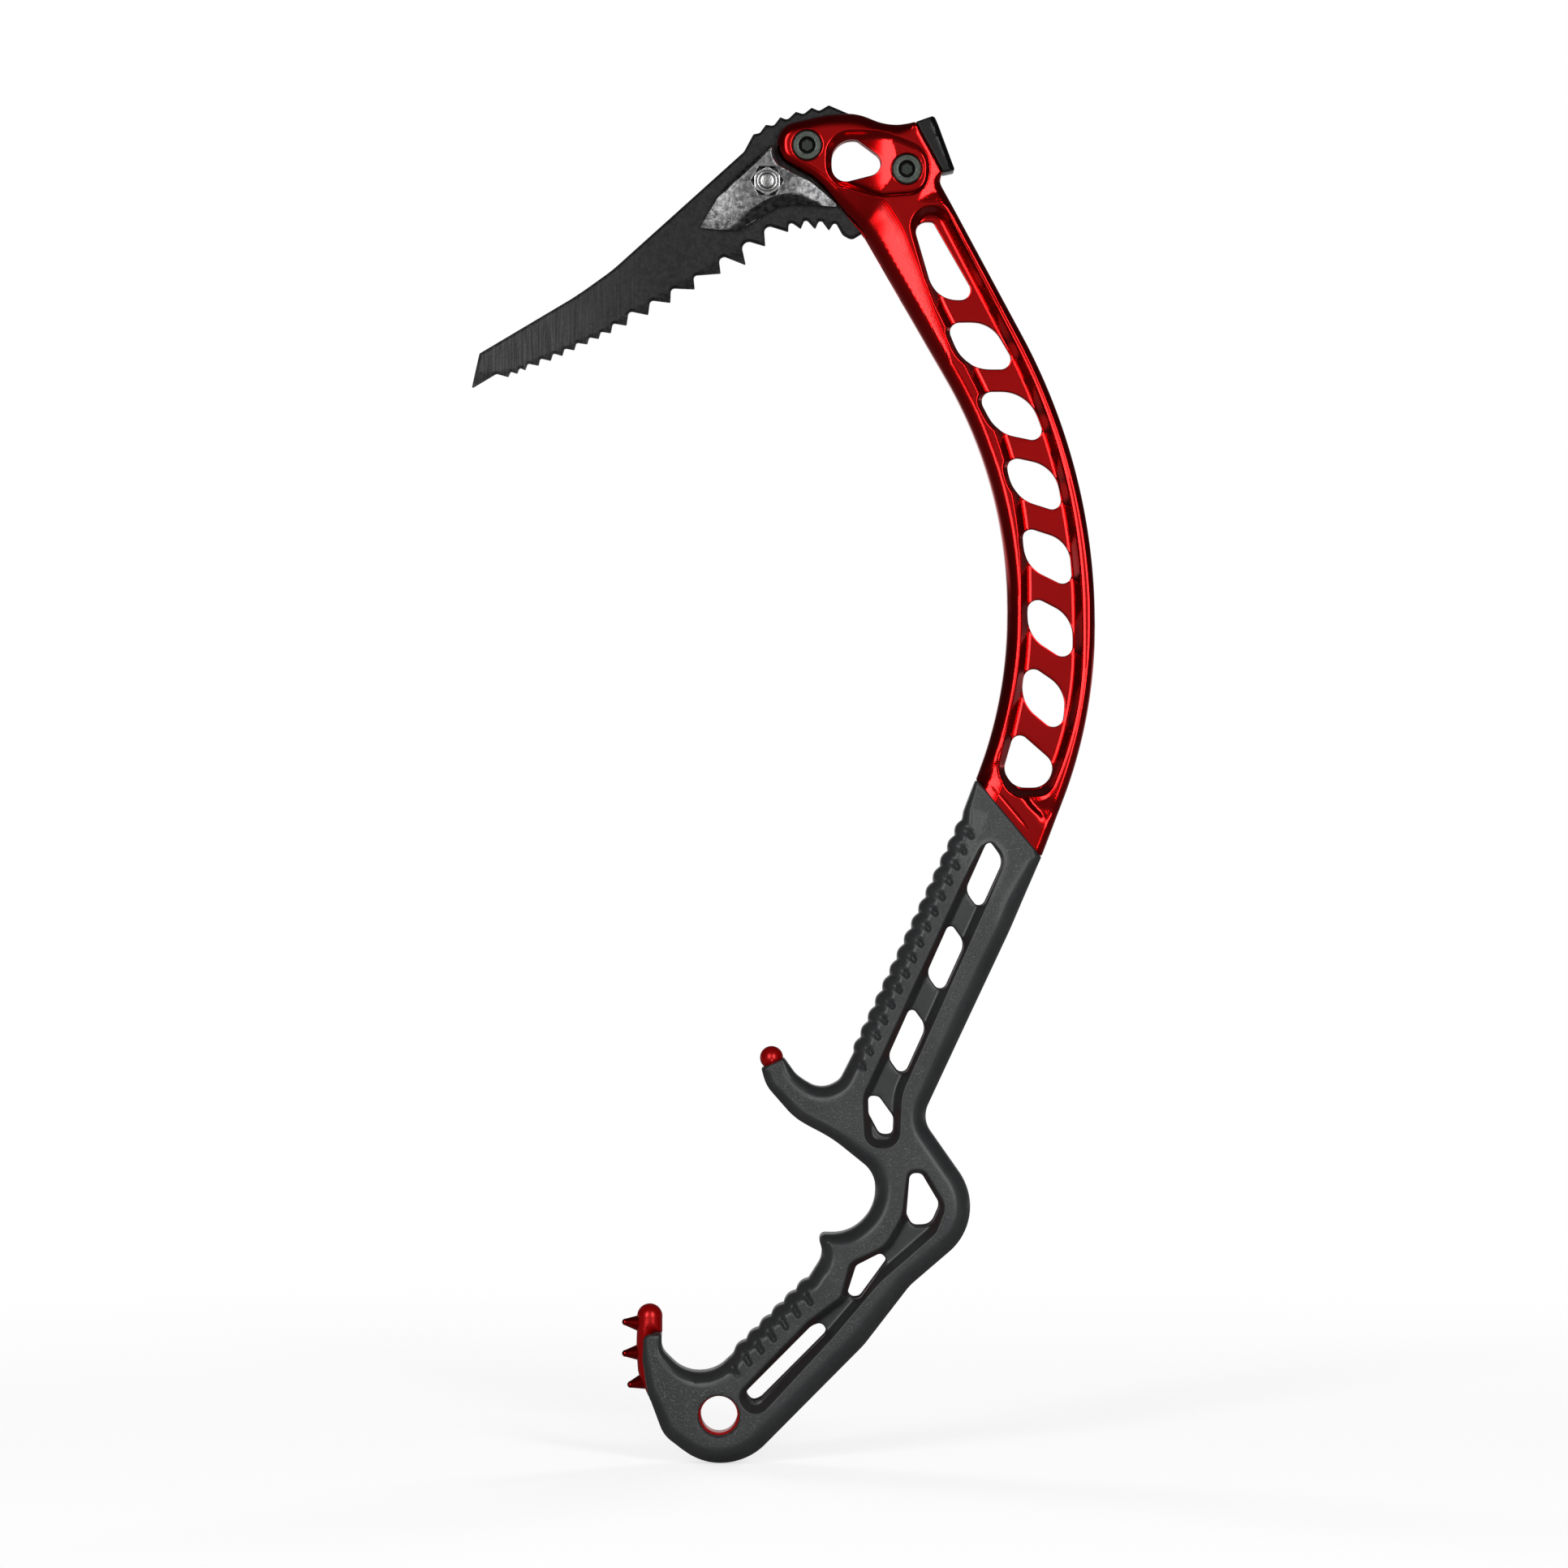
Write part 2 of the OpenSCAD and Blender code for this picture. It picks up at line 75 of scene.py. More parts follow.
def hermite(t, a, slopeA, b, slopeB, length):
    # a smooth curve from a to b over this length, with these slopes at its ends
    return ((2 * t**3 - 3 * t**2 + 1) * a + (t**3 - 2 * t**2 + t) * slopeA * length
            + (3 * t**2 - 2 * t**3) * b + (t**3 - t**2) * slopeB * length)


def sectionLoops(nodeName, y):
    # the closed outlines of a CAD node cut at y, the largest first, without specks
    cut = bmesh.new()
    cut.from_mesh(cadNodes[nodeName].data)
    bmesh.ops.remove_doubles(cut, verts=cut.verts, dist=1e-6)
    made = bmesh.ops.bisect_plane(cut, geom=cut.verts[:] + cut.edges[:] + cut.faces[:],
                                  plane_co=(0, y * mm, 0), plane_no=(0, 1, 0))
    near = {}
    for part in made["geom_cut"]:
        if isinstance(part, bmesh.types.BMEdge):
            a, b = part.verts
            near.setdefault(a, []).append(b)
            near.setdefault(b, []).append(a)
    loops = []
    while near:
        start = next(iter(near))
        line = [start]
        while near.get(line[-1]):
            here = line[-1]
            step = near[here].pop()
            near[step].remove(here)
            if not near[here]:
                del near[here]
            if step is start:
                break
            line.append(step)
        near = {v: n for v, n in near.items() if n}
        loops.append(dropStraight(np.array([(v.co.x, v.co.z) for v in line]) / mm))
    cut.free()
    loops = [loop for loop in loops if len(loop) > 5 and abs(areaOf(loop)) > 3]
    return sorted(loops, key=lambda loop: -abs(areaOf(loop)))


def dropStraight(points, slack=0.004):
    # leaves out the points that lie on the line between their neighbours
    kept = list(points)
    i = 0
    while i < len(kept) and len(kept) > 3:
        a, b, c = kept[i - 1], kept[i], kept[(i + 1) % len(kept)]
        span = c - a
        off = abs(span[0] * (b - a)[1] - span[1] * (b - a)[0]) / max(np.hypot(*span), 1e-9)
        if off < slack:
            kept.pop(i)
            i = max(i - 1, 0)
        else:
            i += 1
    return np.array(kept)


def areaOf(loop):
    x, z = loop[:, 0], loop[:, 1]
    return 0.5 * float(np.sum(x * np.roll(z, -1) - z * np.roll(x, -1)))


def holdsPoint(loop, x, z):
    a, b = loop, np.roll(loop, -1, 0)
    spans = (a[:, 1] > z) != (b[:, 1] > z)
    a, b = a[spans], b[spans]
    return np.sum(x < a[:, 0] + (z - a[:, 1]) * (b - a)[:, 0] / (b - a)[:, 1]) % 2 == 1


def loopAround(loops, x, z):
    # the smallest outline that holds a point
    return [loop for loop in loops if holdsPoint(loop, x, z)][-1]


def turned(vectors, angles):
    c, s = np.cos(angles), np.sin(angles)
    x, z = vectors[:, 0], vectors[:, 1]
    return np.stack([x * c - z * s, x * s + z * c], 1)


def smoothLoop(points, step, sharp=40, straight=2.2):
    # Fills an outline with points, this step in mm apart, so that its round stretches are round
    # again. Corners of more than sharp degrees stay, and so does a side that is straight times
    # as long as its neighbour.
    if areaOf(points) > 0:
        points = points[::-1]
    chords = np.roll(points, -1, 0) - points
    lengths = np.hypot(chords[:, 0], chords[:, 1])
    ways = chords / lengths[:, None]
    before, lastLengths = np.roll(ways, 1, 0), np.roll(lengths, 1)
    turns = np.arctan2(before[:, 0] * ways[:, 1] - before[:, 1] * ways[:, 0],
                       np.sum(before * ways, 1))
    share = lastLengths / (lastLengths + lengths)
    share = np.where(lastLengths > straight * lengths, 0, share)
    share = np.where(lengths > straight * lastLengths, 1, share)
    isSharp = np.abs(turns) > math.radians(sharp)
    tangents = turned(before, turns * share)
    leaving = np.where(isSharp[:, None], ways, tangents)
    arriving = np.roll(np.where(isSharp[:, None], before, tangents), -1, 0)
    made = []
    for p, q, a, b, length in zip(points, np.roll(points, -1, 0), leaving, arriving, lengths):
        count = max(1, math.ceil(length / step))
        t = (np.arange(count) / count)[:, None]
        made.append(hermite(t, p, a, q, b, length))
    return np.concatenate(made)


def denser(points, step):
    # an open line with points at even spaces
    made = []
    for p, q in zip(points[:-1], points[1:]):
        count = max(1, math.ceil(np.hypot(*(q - p)) / step))
        made.append(p + (q - p) * (np.arange(count) / count)[:, None])
    return np.concatenate(made + [points[-1:]])


def circleLoop(centre, radius, count=64):
    angles = -2 * np.pi * np.arange(count) / count
    return np.array(centre) + radius * np.stack([np.cos(angles), np.sin(angles)], 1)


class Outline:
    # One or more closed outlines. Distances are positive inside them.
    def __init__(self, *loops):
        self.points = np.concatenate(loops)
        starts = np.cumsum([0] + [len(loop) for loop in loops])
        self.after = np.arange(1, len(self.points) + 1)
        self.before = np.arange(-1, len(self.points) - 1)
        for first, end in zip(starts[:-1], starts[1:]):
            self.after[end - 1] = first
            self.before[first] = end - 1
        self.way = self.points[self.after] - self.points
        self.length = np.maximum(np.hypot(self.way[:, 0], self.way[:, 1]), 1e-9)
        out = np.stack([-self.way[:, 1], self.way[:, 0]], 1)
        self.out = out / self.length[:, None]
        self.corner = self.out + self.out[self.before]
        self.box = self.points.min(0), self.points.max(0)
        self.tree = treeOf(self.points)

    def signed(self, p, withPlace=False):
        # distances of the points p, and the segments that they are nearest to
        find = self.tree.find
        nearest = np.array([find((x, z, 0))[1] for x, z in p.tolist()], int)
        best = np.full(len(p), np.inf)
        side, place = np.zeros(len(p)), nearest.copy()
        for segment in (self.before[nearest], nearest):
            a, way, length = self.points[segment], self.way[segment], self.length[segment]
            t = np.clip(np.sum((p - a) * way, 1) / length**2, 0, 1)
            gap = p - a - t[:, None] * way
            distance = np.hypot(gap[:, 0], gap[:, 1])
            atEnd = (t <= 0) | (t >= 1)
            facing = np.where(atEnd[:, None], self.corner[nearest], self.out[segment])
            closer = distance < best - 1e-9
            best = np.where(closer, distance, best)
            side = np.where(closer, np.sum(gap * facing, 1), side)
            place = np.where(closer, segment, place)
        inside = np.where(side > 0, -best, best)
        return (inside, place) if withPlace else inside

    def holds(self, p):
        return self.signed(p) > 0


# Shapes of surfaces, in mm

def profileAt(rows, s):
    # a smooth curve through rows of [place, height, slope]
    rows = np.array(rows, float)
    i = np.clip(np.searchsorted(rows[:, 0], s) - 1, 0, len(rows) - 2)
    a, b = rows[i], rows[i + 1]
    length = b[:, 0] - a[:, 0]
    t = np.clip((s - a[:, 0]) / length, 0, 1)
    return hermite(t, a[:, 1], a[:, 2], b[:, 1], b[:, 2], length)


def roundOver(d, reach, drop):
    # how far a rounded edge lies below its face at the distance d from the edge
    return drop * (1 - np.sqrt(np.clip(1 - (1 - np.clip(d / reach, 0, 1))**2, 0, 1)))


def softMin(a, b, k):
    # the smaller of two heights, with a fillet where they meet
    blend = np.clip(0.5 + 0.5 * (b - a) / k, 0, 1)
    return b + (a - b) * blend - k * blend * (1 - blend)


def ramp(value, low, high):
    # rises smoothly from 0 at low to 1 at high
    t = np.clip((value - low) / (high - low), 0, 1)
    return t * t * (3 - 2 * t)


def alongLine(points, start, end):
    # place along the line from start, and distance to its right side
    way = (np.array(end) - start) / np.hypot(*(np.array(end) - start))
    off = points - np.array(start)
    return off @ way, off @ np.array([way[1], -way[0]])


def valuesAlong(loop, stops):
    # values for each corner of an outline, carried along it from one stop to the next
    lengths = np.hypot(*(np.roll(loop, -1, 0) - loop).T)
    along = np.concatenate([[0], np.cumsum(lengths)[:-1]])
    stops = np.array(stops)
    places = np.array([along[np.argmin(np.hypot(*(loop - s[:2]).T))] for s in stops])
    order = np.argsort(places)
    return [np.interp(along + lengths / 2, places[order], stops[order, k], period=lengths.sum())
            for k in range(2, stops.shape[1])]


# Meshes

class Plan:
    # the points and lines, seen from the front, that the faces of a plate are built on
    def __init__(self):
        self.points = []
        self.edges = []

    def line(self, points):
        first = len(self.points)
        self.points.extend(map(tuple, points))
        self.edges.extend((i, i + 1) for i in range(first, first + len(points) - 1))

    def loops(self, outline, points=None, kept=None):
        # the lines of an outline, or of its points moved, without the ones that aren't kept
        points = outline.points if points is None else points
        kept = np.ones(len(points), bool) if kept is None else kept
        places = np.cumsum(kept) - 1 + len(self.points)
        self.points.extend(map(tuple, points[kept]))
        for i in np.nonzero(kept & kept[outline.after])[0]:
            self.edges.append((int(places[i]), int(places[outline.after[i]])))

    def rings(self, outline, insets, area=None):
        # lines beside an outline, left out where they run into another part of it
        corner = outline.corner / np.maximum(np.sum(outline.corner * outline.out, 1), 0.35)[:, None]
        for inset in insets:
            moved = outline.points - corner * inset
            good = np.abs(outline.signed(moved)) > abs(inset) * 0.97 - 0.004
            self.loops(outline, moved, good if area is None else good & area(moved))

    def fill(self, low, high, pitch, wanted, clear=0.6):
        # rows of points in equal triangles, which keep off the lines
        tree = treeOf(self.points)
        xs = np.arange(low[0], high[0], pitch)
        zs = np.arange(low[1], high[1], pitch * 0.866)
        grid = np.array([(x + (j % 2) * pitch / 2, z) for j, z in enumerate(zs) for x in xs])
        grid = grid[wanted(grid)]
        gaps = np.array([tree.find((x, z, 0))[2] for x, z in grid.tolist()])
        self.points.extend(map(tuple, grid[gaps > clear * pitch]))


def plateSolid(plan, outline, holes, regionOf, levelsOf, mirrored=True):
    # A plate whose faces are height fields. regionOf gives each triangle's region, and levelsOf
    # gives the heights of the inner and outer face of a region, with two marks for the material.
    # Walls join the steps that they leave. The other half is the mirror image.
    spots, _, faces, *_ = delaunay_2d_cdt([Vector(p) for p in plan.points], plan.edges, [], 0, 1e-5)
    spots = np.array([tuple(p) for p in spots])
    faces = np.array([f for f in faces if len(f) == 3])
    a, b, c = (spots[faces[:, k]] for k in range(3))
    twiceArea = (b - a)[:, 0] * (c - a)[:, 1] - (b - a)[:, 1] * (c - a)[:, 0]
    middles = (a + b + c) / 3
    faces = faces[(np.abs(twiceArea) > 1e-7) & outline.holds(middles) & ~holes.holds(middles)]
    regions = regionOf(spots[faces].mean(1))
    coords, marks, quads, made = [], [], [], {}
    total = 0
    for region in np.unique(regions):
        own = faces[regions == region]
        used = np.unique(own)
        lower, upper, *extra = levelsOf(region, spots[used])
        place = np.full(len(spots), -1)
        place[used] = np.arange(len(used))
        for kind, height in (("top", upper), ("low", lower)):
            coords.append(np.stack([spots[used, 0], -height, spots[used, 1]], 1))
            marks.append(extra[0] if extra else np.zeros((len(used), 2)))
            made[region, kind] = np.where(place >= 0, place + total, -1)
            total += len(used)
        quads.extend(made[region, "top"][own].tolist())
        if lower.max() > 0:
            quads.extend(made[region, "low"][own][:, ::-1].tolist())
    coords, marks = np.concatenate(coords), np.concatenate(marks)
    owner = {}
    for face, region in zip(faces.tolist(), regions.tolist()):
        for k in range(3):
            owner[face[k], face[(k + 1) % 3]] = region
    for (i, j), region in owner.items():
        other = owner.get((j, i))
        if other == region:
            continue
        top, low = made[region, "top"], made[region, "low"]
        if other is None:
            quads.append([top[j], top[i], low[i], low[j]])
            continue
        topOther, lowOther = made[other, "top"], made[other, "low"]
        if coords[top[i], 1] + coords[top[j], 1] < coords[topOther[i], 1] + coords[topOther[j], 1]:
            quads.append([top[j], top[i], topOther[i], topOther[j]])
        if coords[low[i], 1] + coords[low[j], 1] > coords[lowOther[i], 1] + coords[lowOther[j], 1]:
            quads.append([lowOther[j], lowOther[i], low[i], low[j]])
    if mirrored:
        count = len(coords)
        quads += [[int(v) + count for v in q[::-1]] for q in quads]
        coords = np.concatenate([coords, coords * [1, -1, 1]])
        marks = np.concatenate([marks, marks])
    return coords, [[int(v) for v in q] for q in quads], marks


def latheSolid(centre, rings, count=64, flip=False):
    # A turned piece along Y, from its front face back. Rings are [y, radius] or [y, flats, "hex"],
    # with a mark for the material after that where there is one.
    angles = 2 * np.pi * np.arange(count) / count
    coords, faces, marks = [], [], []
    for place, radius, *more in rings:
        if "hex" in more:
            radius = radius / 2 / np.cos((angles + np.pi / 6) % (np.pi / 3) - np.pi / 6)
        coords.append(np.stack([centre[0] + radius * np.cos(angles), np.full(count, place),
                                centre[1] + radius * np.sin(angles)], 1))
        marks += [(0, ([0] + [m for m in more if m != "hex"])[-1])] * count
    for j in range(len(rings) - 1):
        for i in range(count):
            k = (i + 1) % count
            face = [j * count + i, (j + 1) * count + i, (j + 1) * count + k, j * count + k]
            faces.append(face[::-1] if flip else face)
    coords = np.concatenate(coords)
    if flip:
        coords = coords * [1, -1, 1]
    return coords, faces, np.array(marks, float)


def addObject(name, data):
    added = bpy.data.objects.new(name, data)
    bpy.context.scene.collection.objects.link(added)
    return added


def addPiece(name, parts):
    # a piece from arrays of corners in mm, lists of faces, and marks for the material
    body = bmesh.new()
    layers = [body.verts.layers.float.new(mark) for mark in ("markPlace", "markShare")]
    for coords, faces, marks in parts:
        corners = [body.verts.new(tuple(p)) for p in np.clip(coords * mm, *cadBox).tolist()]
        for corner, pair in zip(corners, marks.tolist()):
            corner[layers[0]], corner[layers[1]] = pair
        for face in faces:
            if len(set(face)) > 2:
                body.faces.new([corners[v] for v in face])
    bmesh.ops.remove_doubles(body, verts=body.verts, dist=2e-6)
    bmesh.ops.delete(body, geom=[v for v in body.verts if not v.link_faces], context="VERTS")
    bmesh.ops.dissolve_degenerate(body, edges=body.edges, dist=1e-7)
    mesh = bpy.data.meshes.new(name)
    body.to_mesh(mesh)
    body.free()
    return addObject(name, mesh)


def grown(piece, tree, settings):
    # runs a Geometry Nodes tree on a piece and keeps the result as its plain mesh
    modifier = piece.modifiers.new("growth", "NODES")
    modifier.node_group = tree
    for item in tree.interface.items_tree:
        if item.item_type == "SOCKET" and item.in_out == "INPUT" and item.name in settings:
            modifier[item.identifier] = settings[item.name]
    bpy.context.view_layer.update()
    shown = piece.evaluated_get(bpy.context.evaluated_depsgraph_get())
    mesh = bpy.data.meshes.new_from_object(shown)
    piece.modifiers.remove(modifier)
    piece.data = mesh


def finishPiece(piece, material, replaced, angle=32):
    piece.data.shade_smooth()
    piece.data.set_sharp_from_angle(angle=math.radians(angle))
    piece.data.materials.clear()
    piece.data.materials.append(material)
    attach(piece, "root")
    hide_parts(replaced)
    print(piece.name, len(piece.data.polygons), "faces")


def boxOf(nodeName):
    # centre x, centre z, front y and back y of a CAD node in mm
    low, high = (Vector(corner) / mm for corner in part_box(nodeName))
    return (low.x + high.x) / 2, (low.z + high.z) / 2, low.y, high.y


# Materials

def hexColour(code):
    parts = [int(code[i:i + 2], 16) / 255 for i in (1, 3, 5)]
    return tuple(p / 12.92 if p <= 0.04045 else ((p + 0.055) / 1.055)**2.4 for p in parts) + (1,)


def addNode(tree, kind, sockets=None, **settings):
    # a socket takes a value, an output, a node for its first output, or a list of nodes
    node = tree.nodes.new(kind)
    for name, value in settings.items():
        setattr(node, name, value)
    for name, value in (sockets or {}).items():
        for source in value if isinstance(value, list) else [value]:
            if isinstance(source, bpy.types.Node):
                source = source.outputs[0]
            if isinstance(source, bpy.types.NodeSocket):
                tree.links.new(source, node.inputs[name])
            else:
                node.inputs[name].default_value = source
    return node


def startMaterial(name):
    material = bpy.data.materials.new(name)
    material.use_nodes = True
    tree = material.node_tree
    tree.nodes.clear()
    return material, tree, addNode(tree, "ShaderNodeTexCoord").outputs["Object"]


def speckle(tree, place, size, low, high):
    # a noise whose grains are about this many mm wide, and two hex colours mixed by it
    noise = addNode(tree, "ShaderNodeTexNoise", {"Vector": place, "Scale": 500.0 / size,
                                                 "Detail": 3.0, "Roughness": 0.6})
    tint = addNode(tree, "ShaderNodeValToRGB", {"Fac": noise})
    for stop, position, code in zip(tint.color_ramp.elements, (0.35, 0.65), (low, high)):
        stop.position = position
        stop.color = hexColour(code)
    return noise, tint


def anodisedAluminium():
    # Dyed oxide on milled aluminium: a deep metallic red under a hard gloss, so that it turns from
    # dark to a pink flare as it leans to the light. Cutter marks 0.9 mm apart run along the
    # facets, where the mesh carries the distance from the facet's line.
    material, tree, place = startMaterial("anodisedAluminiumRed")
    tint = speckle(tree, place, 14, "#c20001", "#cc0002")[1]
    grit = addNode(tree, "ShaderNodeTexNoise", {"Vector": place, "Scale": 900.0, "Detail": 2.0})
    rough = addNode(tree, "ShaderNodeMapRange", {"Value": grit, "To Min": 0.16, "To Max": 0.2})
    travel = addNode(tree, "ShaderNodeAttribute", attribute_name="markPlace").outputs["Fac"]
    share = addNode(tree, "ShaderNodeAttribute", attribute_name="markShare").outputs["Fac"]
    turns = addNode(tree, "ShaderNodeMath", {0: travel, 1: 2 * math.pi / 0.9},
                    operation="MULTIPLY")
    ridges = addNode(tree, "ShaderNodeMath", {0: turns}, operation="SINE")
    ridges = addNode(tree, "ShaderNodeMath", {0: ridges, 1: share}, operation="MULTIPLY")
    bump = addNode(tree, "ShaderNodeBump", {"Height": ridges, "Strength": 0.6,
                                            "Distance": 0.00002})
    # the ball and the hook are tumbled and not milled, so they are satin
    satin = addNode(tree, "ShaderNodeMath", {0: travel, 1: satinMark / 2}, operation="LESS_THAN")
    rough, metal, coat = (
        addNode(tree, "ShaderNodeMath", {0: satin, 1: change, 2: usual}, operation="MULTIPLY_ADD")
        for change, usual in ((0.16, rough), (-0.45, 1.0), (-0.2, 0.3)))
    shader = addNode(tree, "ShaderNodeBsdfPrincipled", {
        "Base Color": tint, "Metallic": metal, "Roughness": rough, "Normal": bump,
        "Coat Weight": coat, "Coat Roughness": 0.12})
    addNode(tree, "ShaderNodeOutputMaterial", {"Surface": shader})
    return material


def mouldedRubber():
    # Moulded elastomer: near black with a soft sheen that leaves the roundings dark. The flat
    # zones have a spark-eroded grain of about 0.4 mm with painted glints, light grey dots on its
    # tops, and the edges are smooth.
    material, tree, place = startMaterial("mouldedRubber")
    tint = speckle(tree, place, 8, "#333435", "#3b3c3d")[1]
    grain = addNode(tree, "ShaderNodeTexNoise", {"Vector": place, "Scale": 1400.0, "Detail": 2.0,
                                                 "Roughness": 0.6})
    share = addNode(tree, "ShaderNodeAttribute", attribute_name="markShare").outputs["Fac"]
    depth, rough = (
        addNode(tree, "ShaderNodeMath", {0: share, 1: change, 2: usual}, operation="MULTIPLY_ADD")
        for change, usual in ((0.85, 0.1), (0.14, 0.36)))
    # painted glints: light grey on the tops of the grain, in the flat zones only
    paintedGlints = addNode(tree, "ShaderNodeMapRange", {"Value": grain, "From Min": 0.55,
                                                  "From Max": 0.75})
    paintedGlints = addNode(tree, "ShaderNodeMath", {0: paintedGlints, 1: share}, operation="MULTIPLY")
    tint = addNode(tree, "ShaderNodeMix", {"Factor": paintedGlints, 6: tint, 7: hexColour("#6a6b6b")},
                   data_type="RGBA").outputs[2]
    bump = addNode(tree, "ShaderNodeBump", {"Height": grain, "Strength": depth,
                                            "Distance": 0.00025})
    shader = addNode(tree, "ShaderNodeBsdfPrincipled", {
        "Base Color": tint, "Roughness": rough, "Normal": bump, "IOR": 1.5})
    addNode(tree, "ShaderNodeOutputMaterial", {"Surface": shader})
    return material


def sandblastedSteel():
    # Forged and sandblasted tool steel with a black finish: near black, mottled at about 1 mm,
    # and ground bare at the tip, where fine lines cross the blade
    material, tree, place = startMaterial("sandblastedSteelBlack")
    mottle, dark = speckle(tree, place, 0.7, "#0b0b0c", "#222223")
    across = addNode(tree, "ShaderNodeMapping", {
        "Vector": place, "Rotation": (0, math.radians(27), 0), "Scale": (1500, 60, 60)})
    bare = speckle(tree, across, 500, "#222223", "#454546")[1]
    apart = addNode(tree, "ShaderNodeSeparateXYZ", {"Vector": place})
    ground = addNode(tree, "ShaderNodeMapRange", {
        "Value": apart.outputs["X"], "From Min": -0.068, "From Max": -0.02, "To Min": 1.0,
        "To Max": 0.0})
    tint = addNode(tree, "ShaderNodeMix", {"Factor": ground, 6: dark, 7: bare},
                   data_type="RGBA").outputs[2]
    bump = addNode(tree, "ShaderNodeBump", {"Height": mottle, "Strength": 0.65,
                                            "Distance": 0.0003})
    shader = addNode(tree, "ShaderNodeBsdfPrincipled", {
        "Base Color": tint, "Metallic": 0.5, "Roughness": 0.42, "Normal": bump})
    addNode(tree, "ShaderNodeOutputMaterial", {"Surface": shader})
    return material


def grainyMetal(name, size, colours, bumps, metallic, roughness, paintedShadeColour=None):
    # a metal with a grain in its colour and its bumps, and a painted shade colour where the mesh is
    # marked
    material, tree, place = startMaterial(name)
    grain, tint = speckle(tree, place, size, *colours)
    if paintedShadeColour:
        share = addNode(tree, "ShaderNodeAttribute", attribute_name="markShare").outputs["Fac"]
        tint = addNode(tree, "ShaderNodeMix", {"Factor": share, 6: tint, 7: hexColour(paintedShadeColour)},
                       data_type="RGBA").outputs[2]
    bump = addNode(tree, "ShaderNodeBump", {"Height": grain, "Strength": bumps[0],
                                            "Distance": bumps[1]})
    shader = addNode(tree, "ShaderNodeBsdfPrincipled", {
        "Base Color": tint, "Metallic": metallic, "Roughness": roughness, "Normal": bump})
    addNode(tree, "ShaderNodeOutputMaterial", {"Surface": shader})
    return material


redAluminium = anodisedAluminium()
rubber = mouldedRubber()
pickSteel = sandblastedSteel()
# Die-cast zinc: silver grey with a coarse as-cast grain of about 0.9 mm that glitters, and dark
# where it leans away from the light
zinc = grainyMetal("castZinc", 0.9, ("#48484a", "#8c8c8c"), (0.5, 0.0003), 1.0, 0.34)
# Machined steel with a black oxide finish: black, smooth and slightly oily
hammerSteel = grainyMetal("blackOxideSteel", 0.5, ("#090909", "#141312"), (0.15, 0.0002), 0.4,
                          0.34)
# Turned steel with a phosphate finish: dark grey with a green cast and a soft sheen. The mesh
# marks the socket, which is painted near black as its shade.
boltSteel = grainyMetal("phosphatedSteel", 0.4, ("#4a504b", "#626862"), (0.12, 0.0002), 0.9, 0.33,
                        "#0b0b0b")
# Steel with a bright zinc plating: light silver, with a fine grain that glitters. The mesh marks
# the rims and sides of the nut and the socket of the weight bolt, which are painted dark as shade.
platedSteel = grainyMetal("zincPlatedSteel", 0.35, ("#8a8a8a", "#c4c4c3"), (0.18, 0.0002), 1.0,
                          0.26, "#0c0c0c")
print("materials made")


# Frame

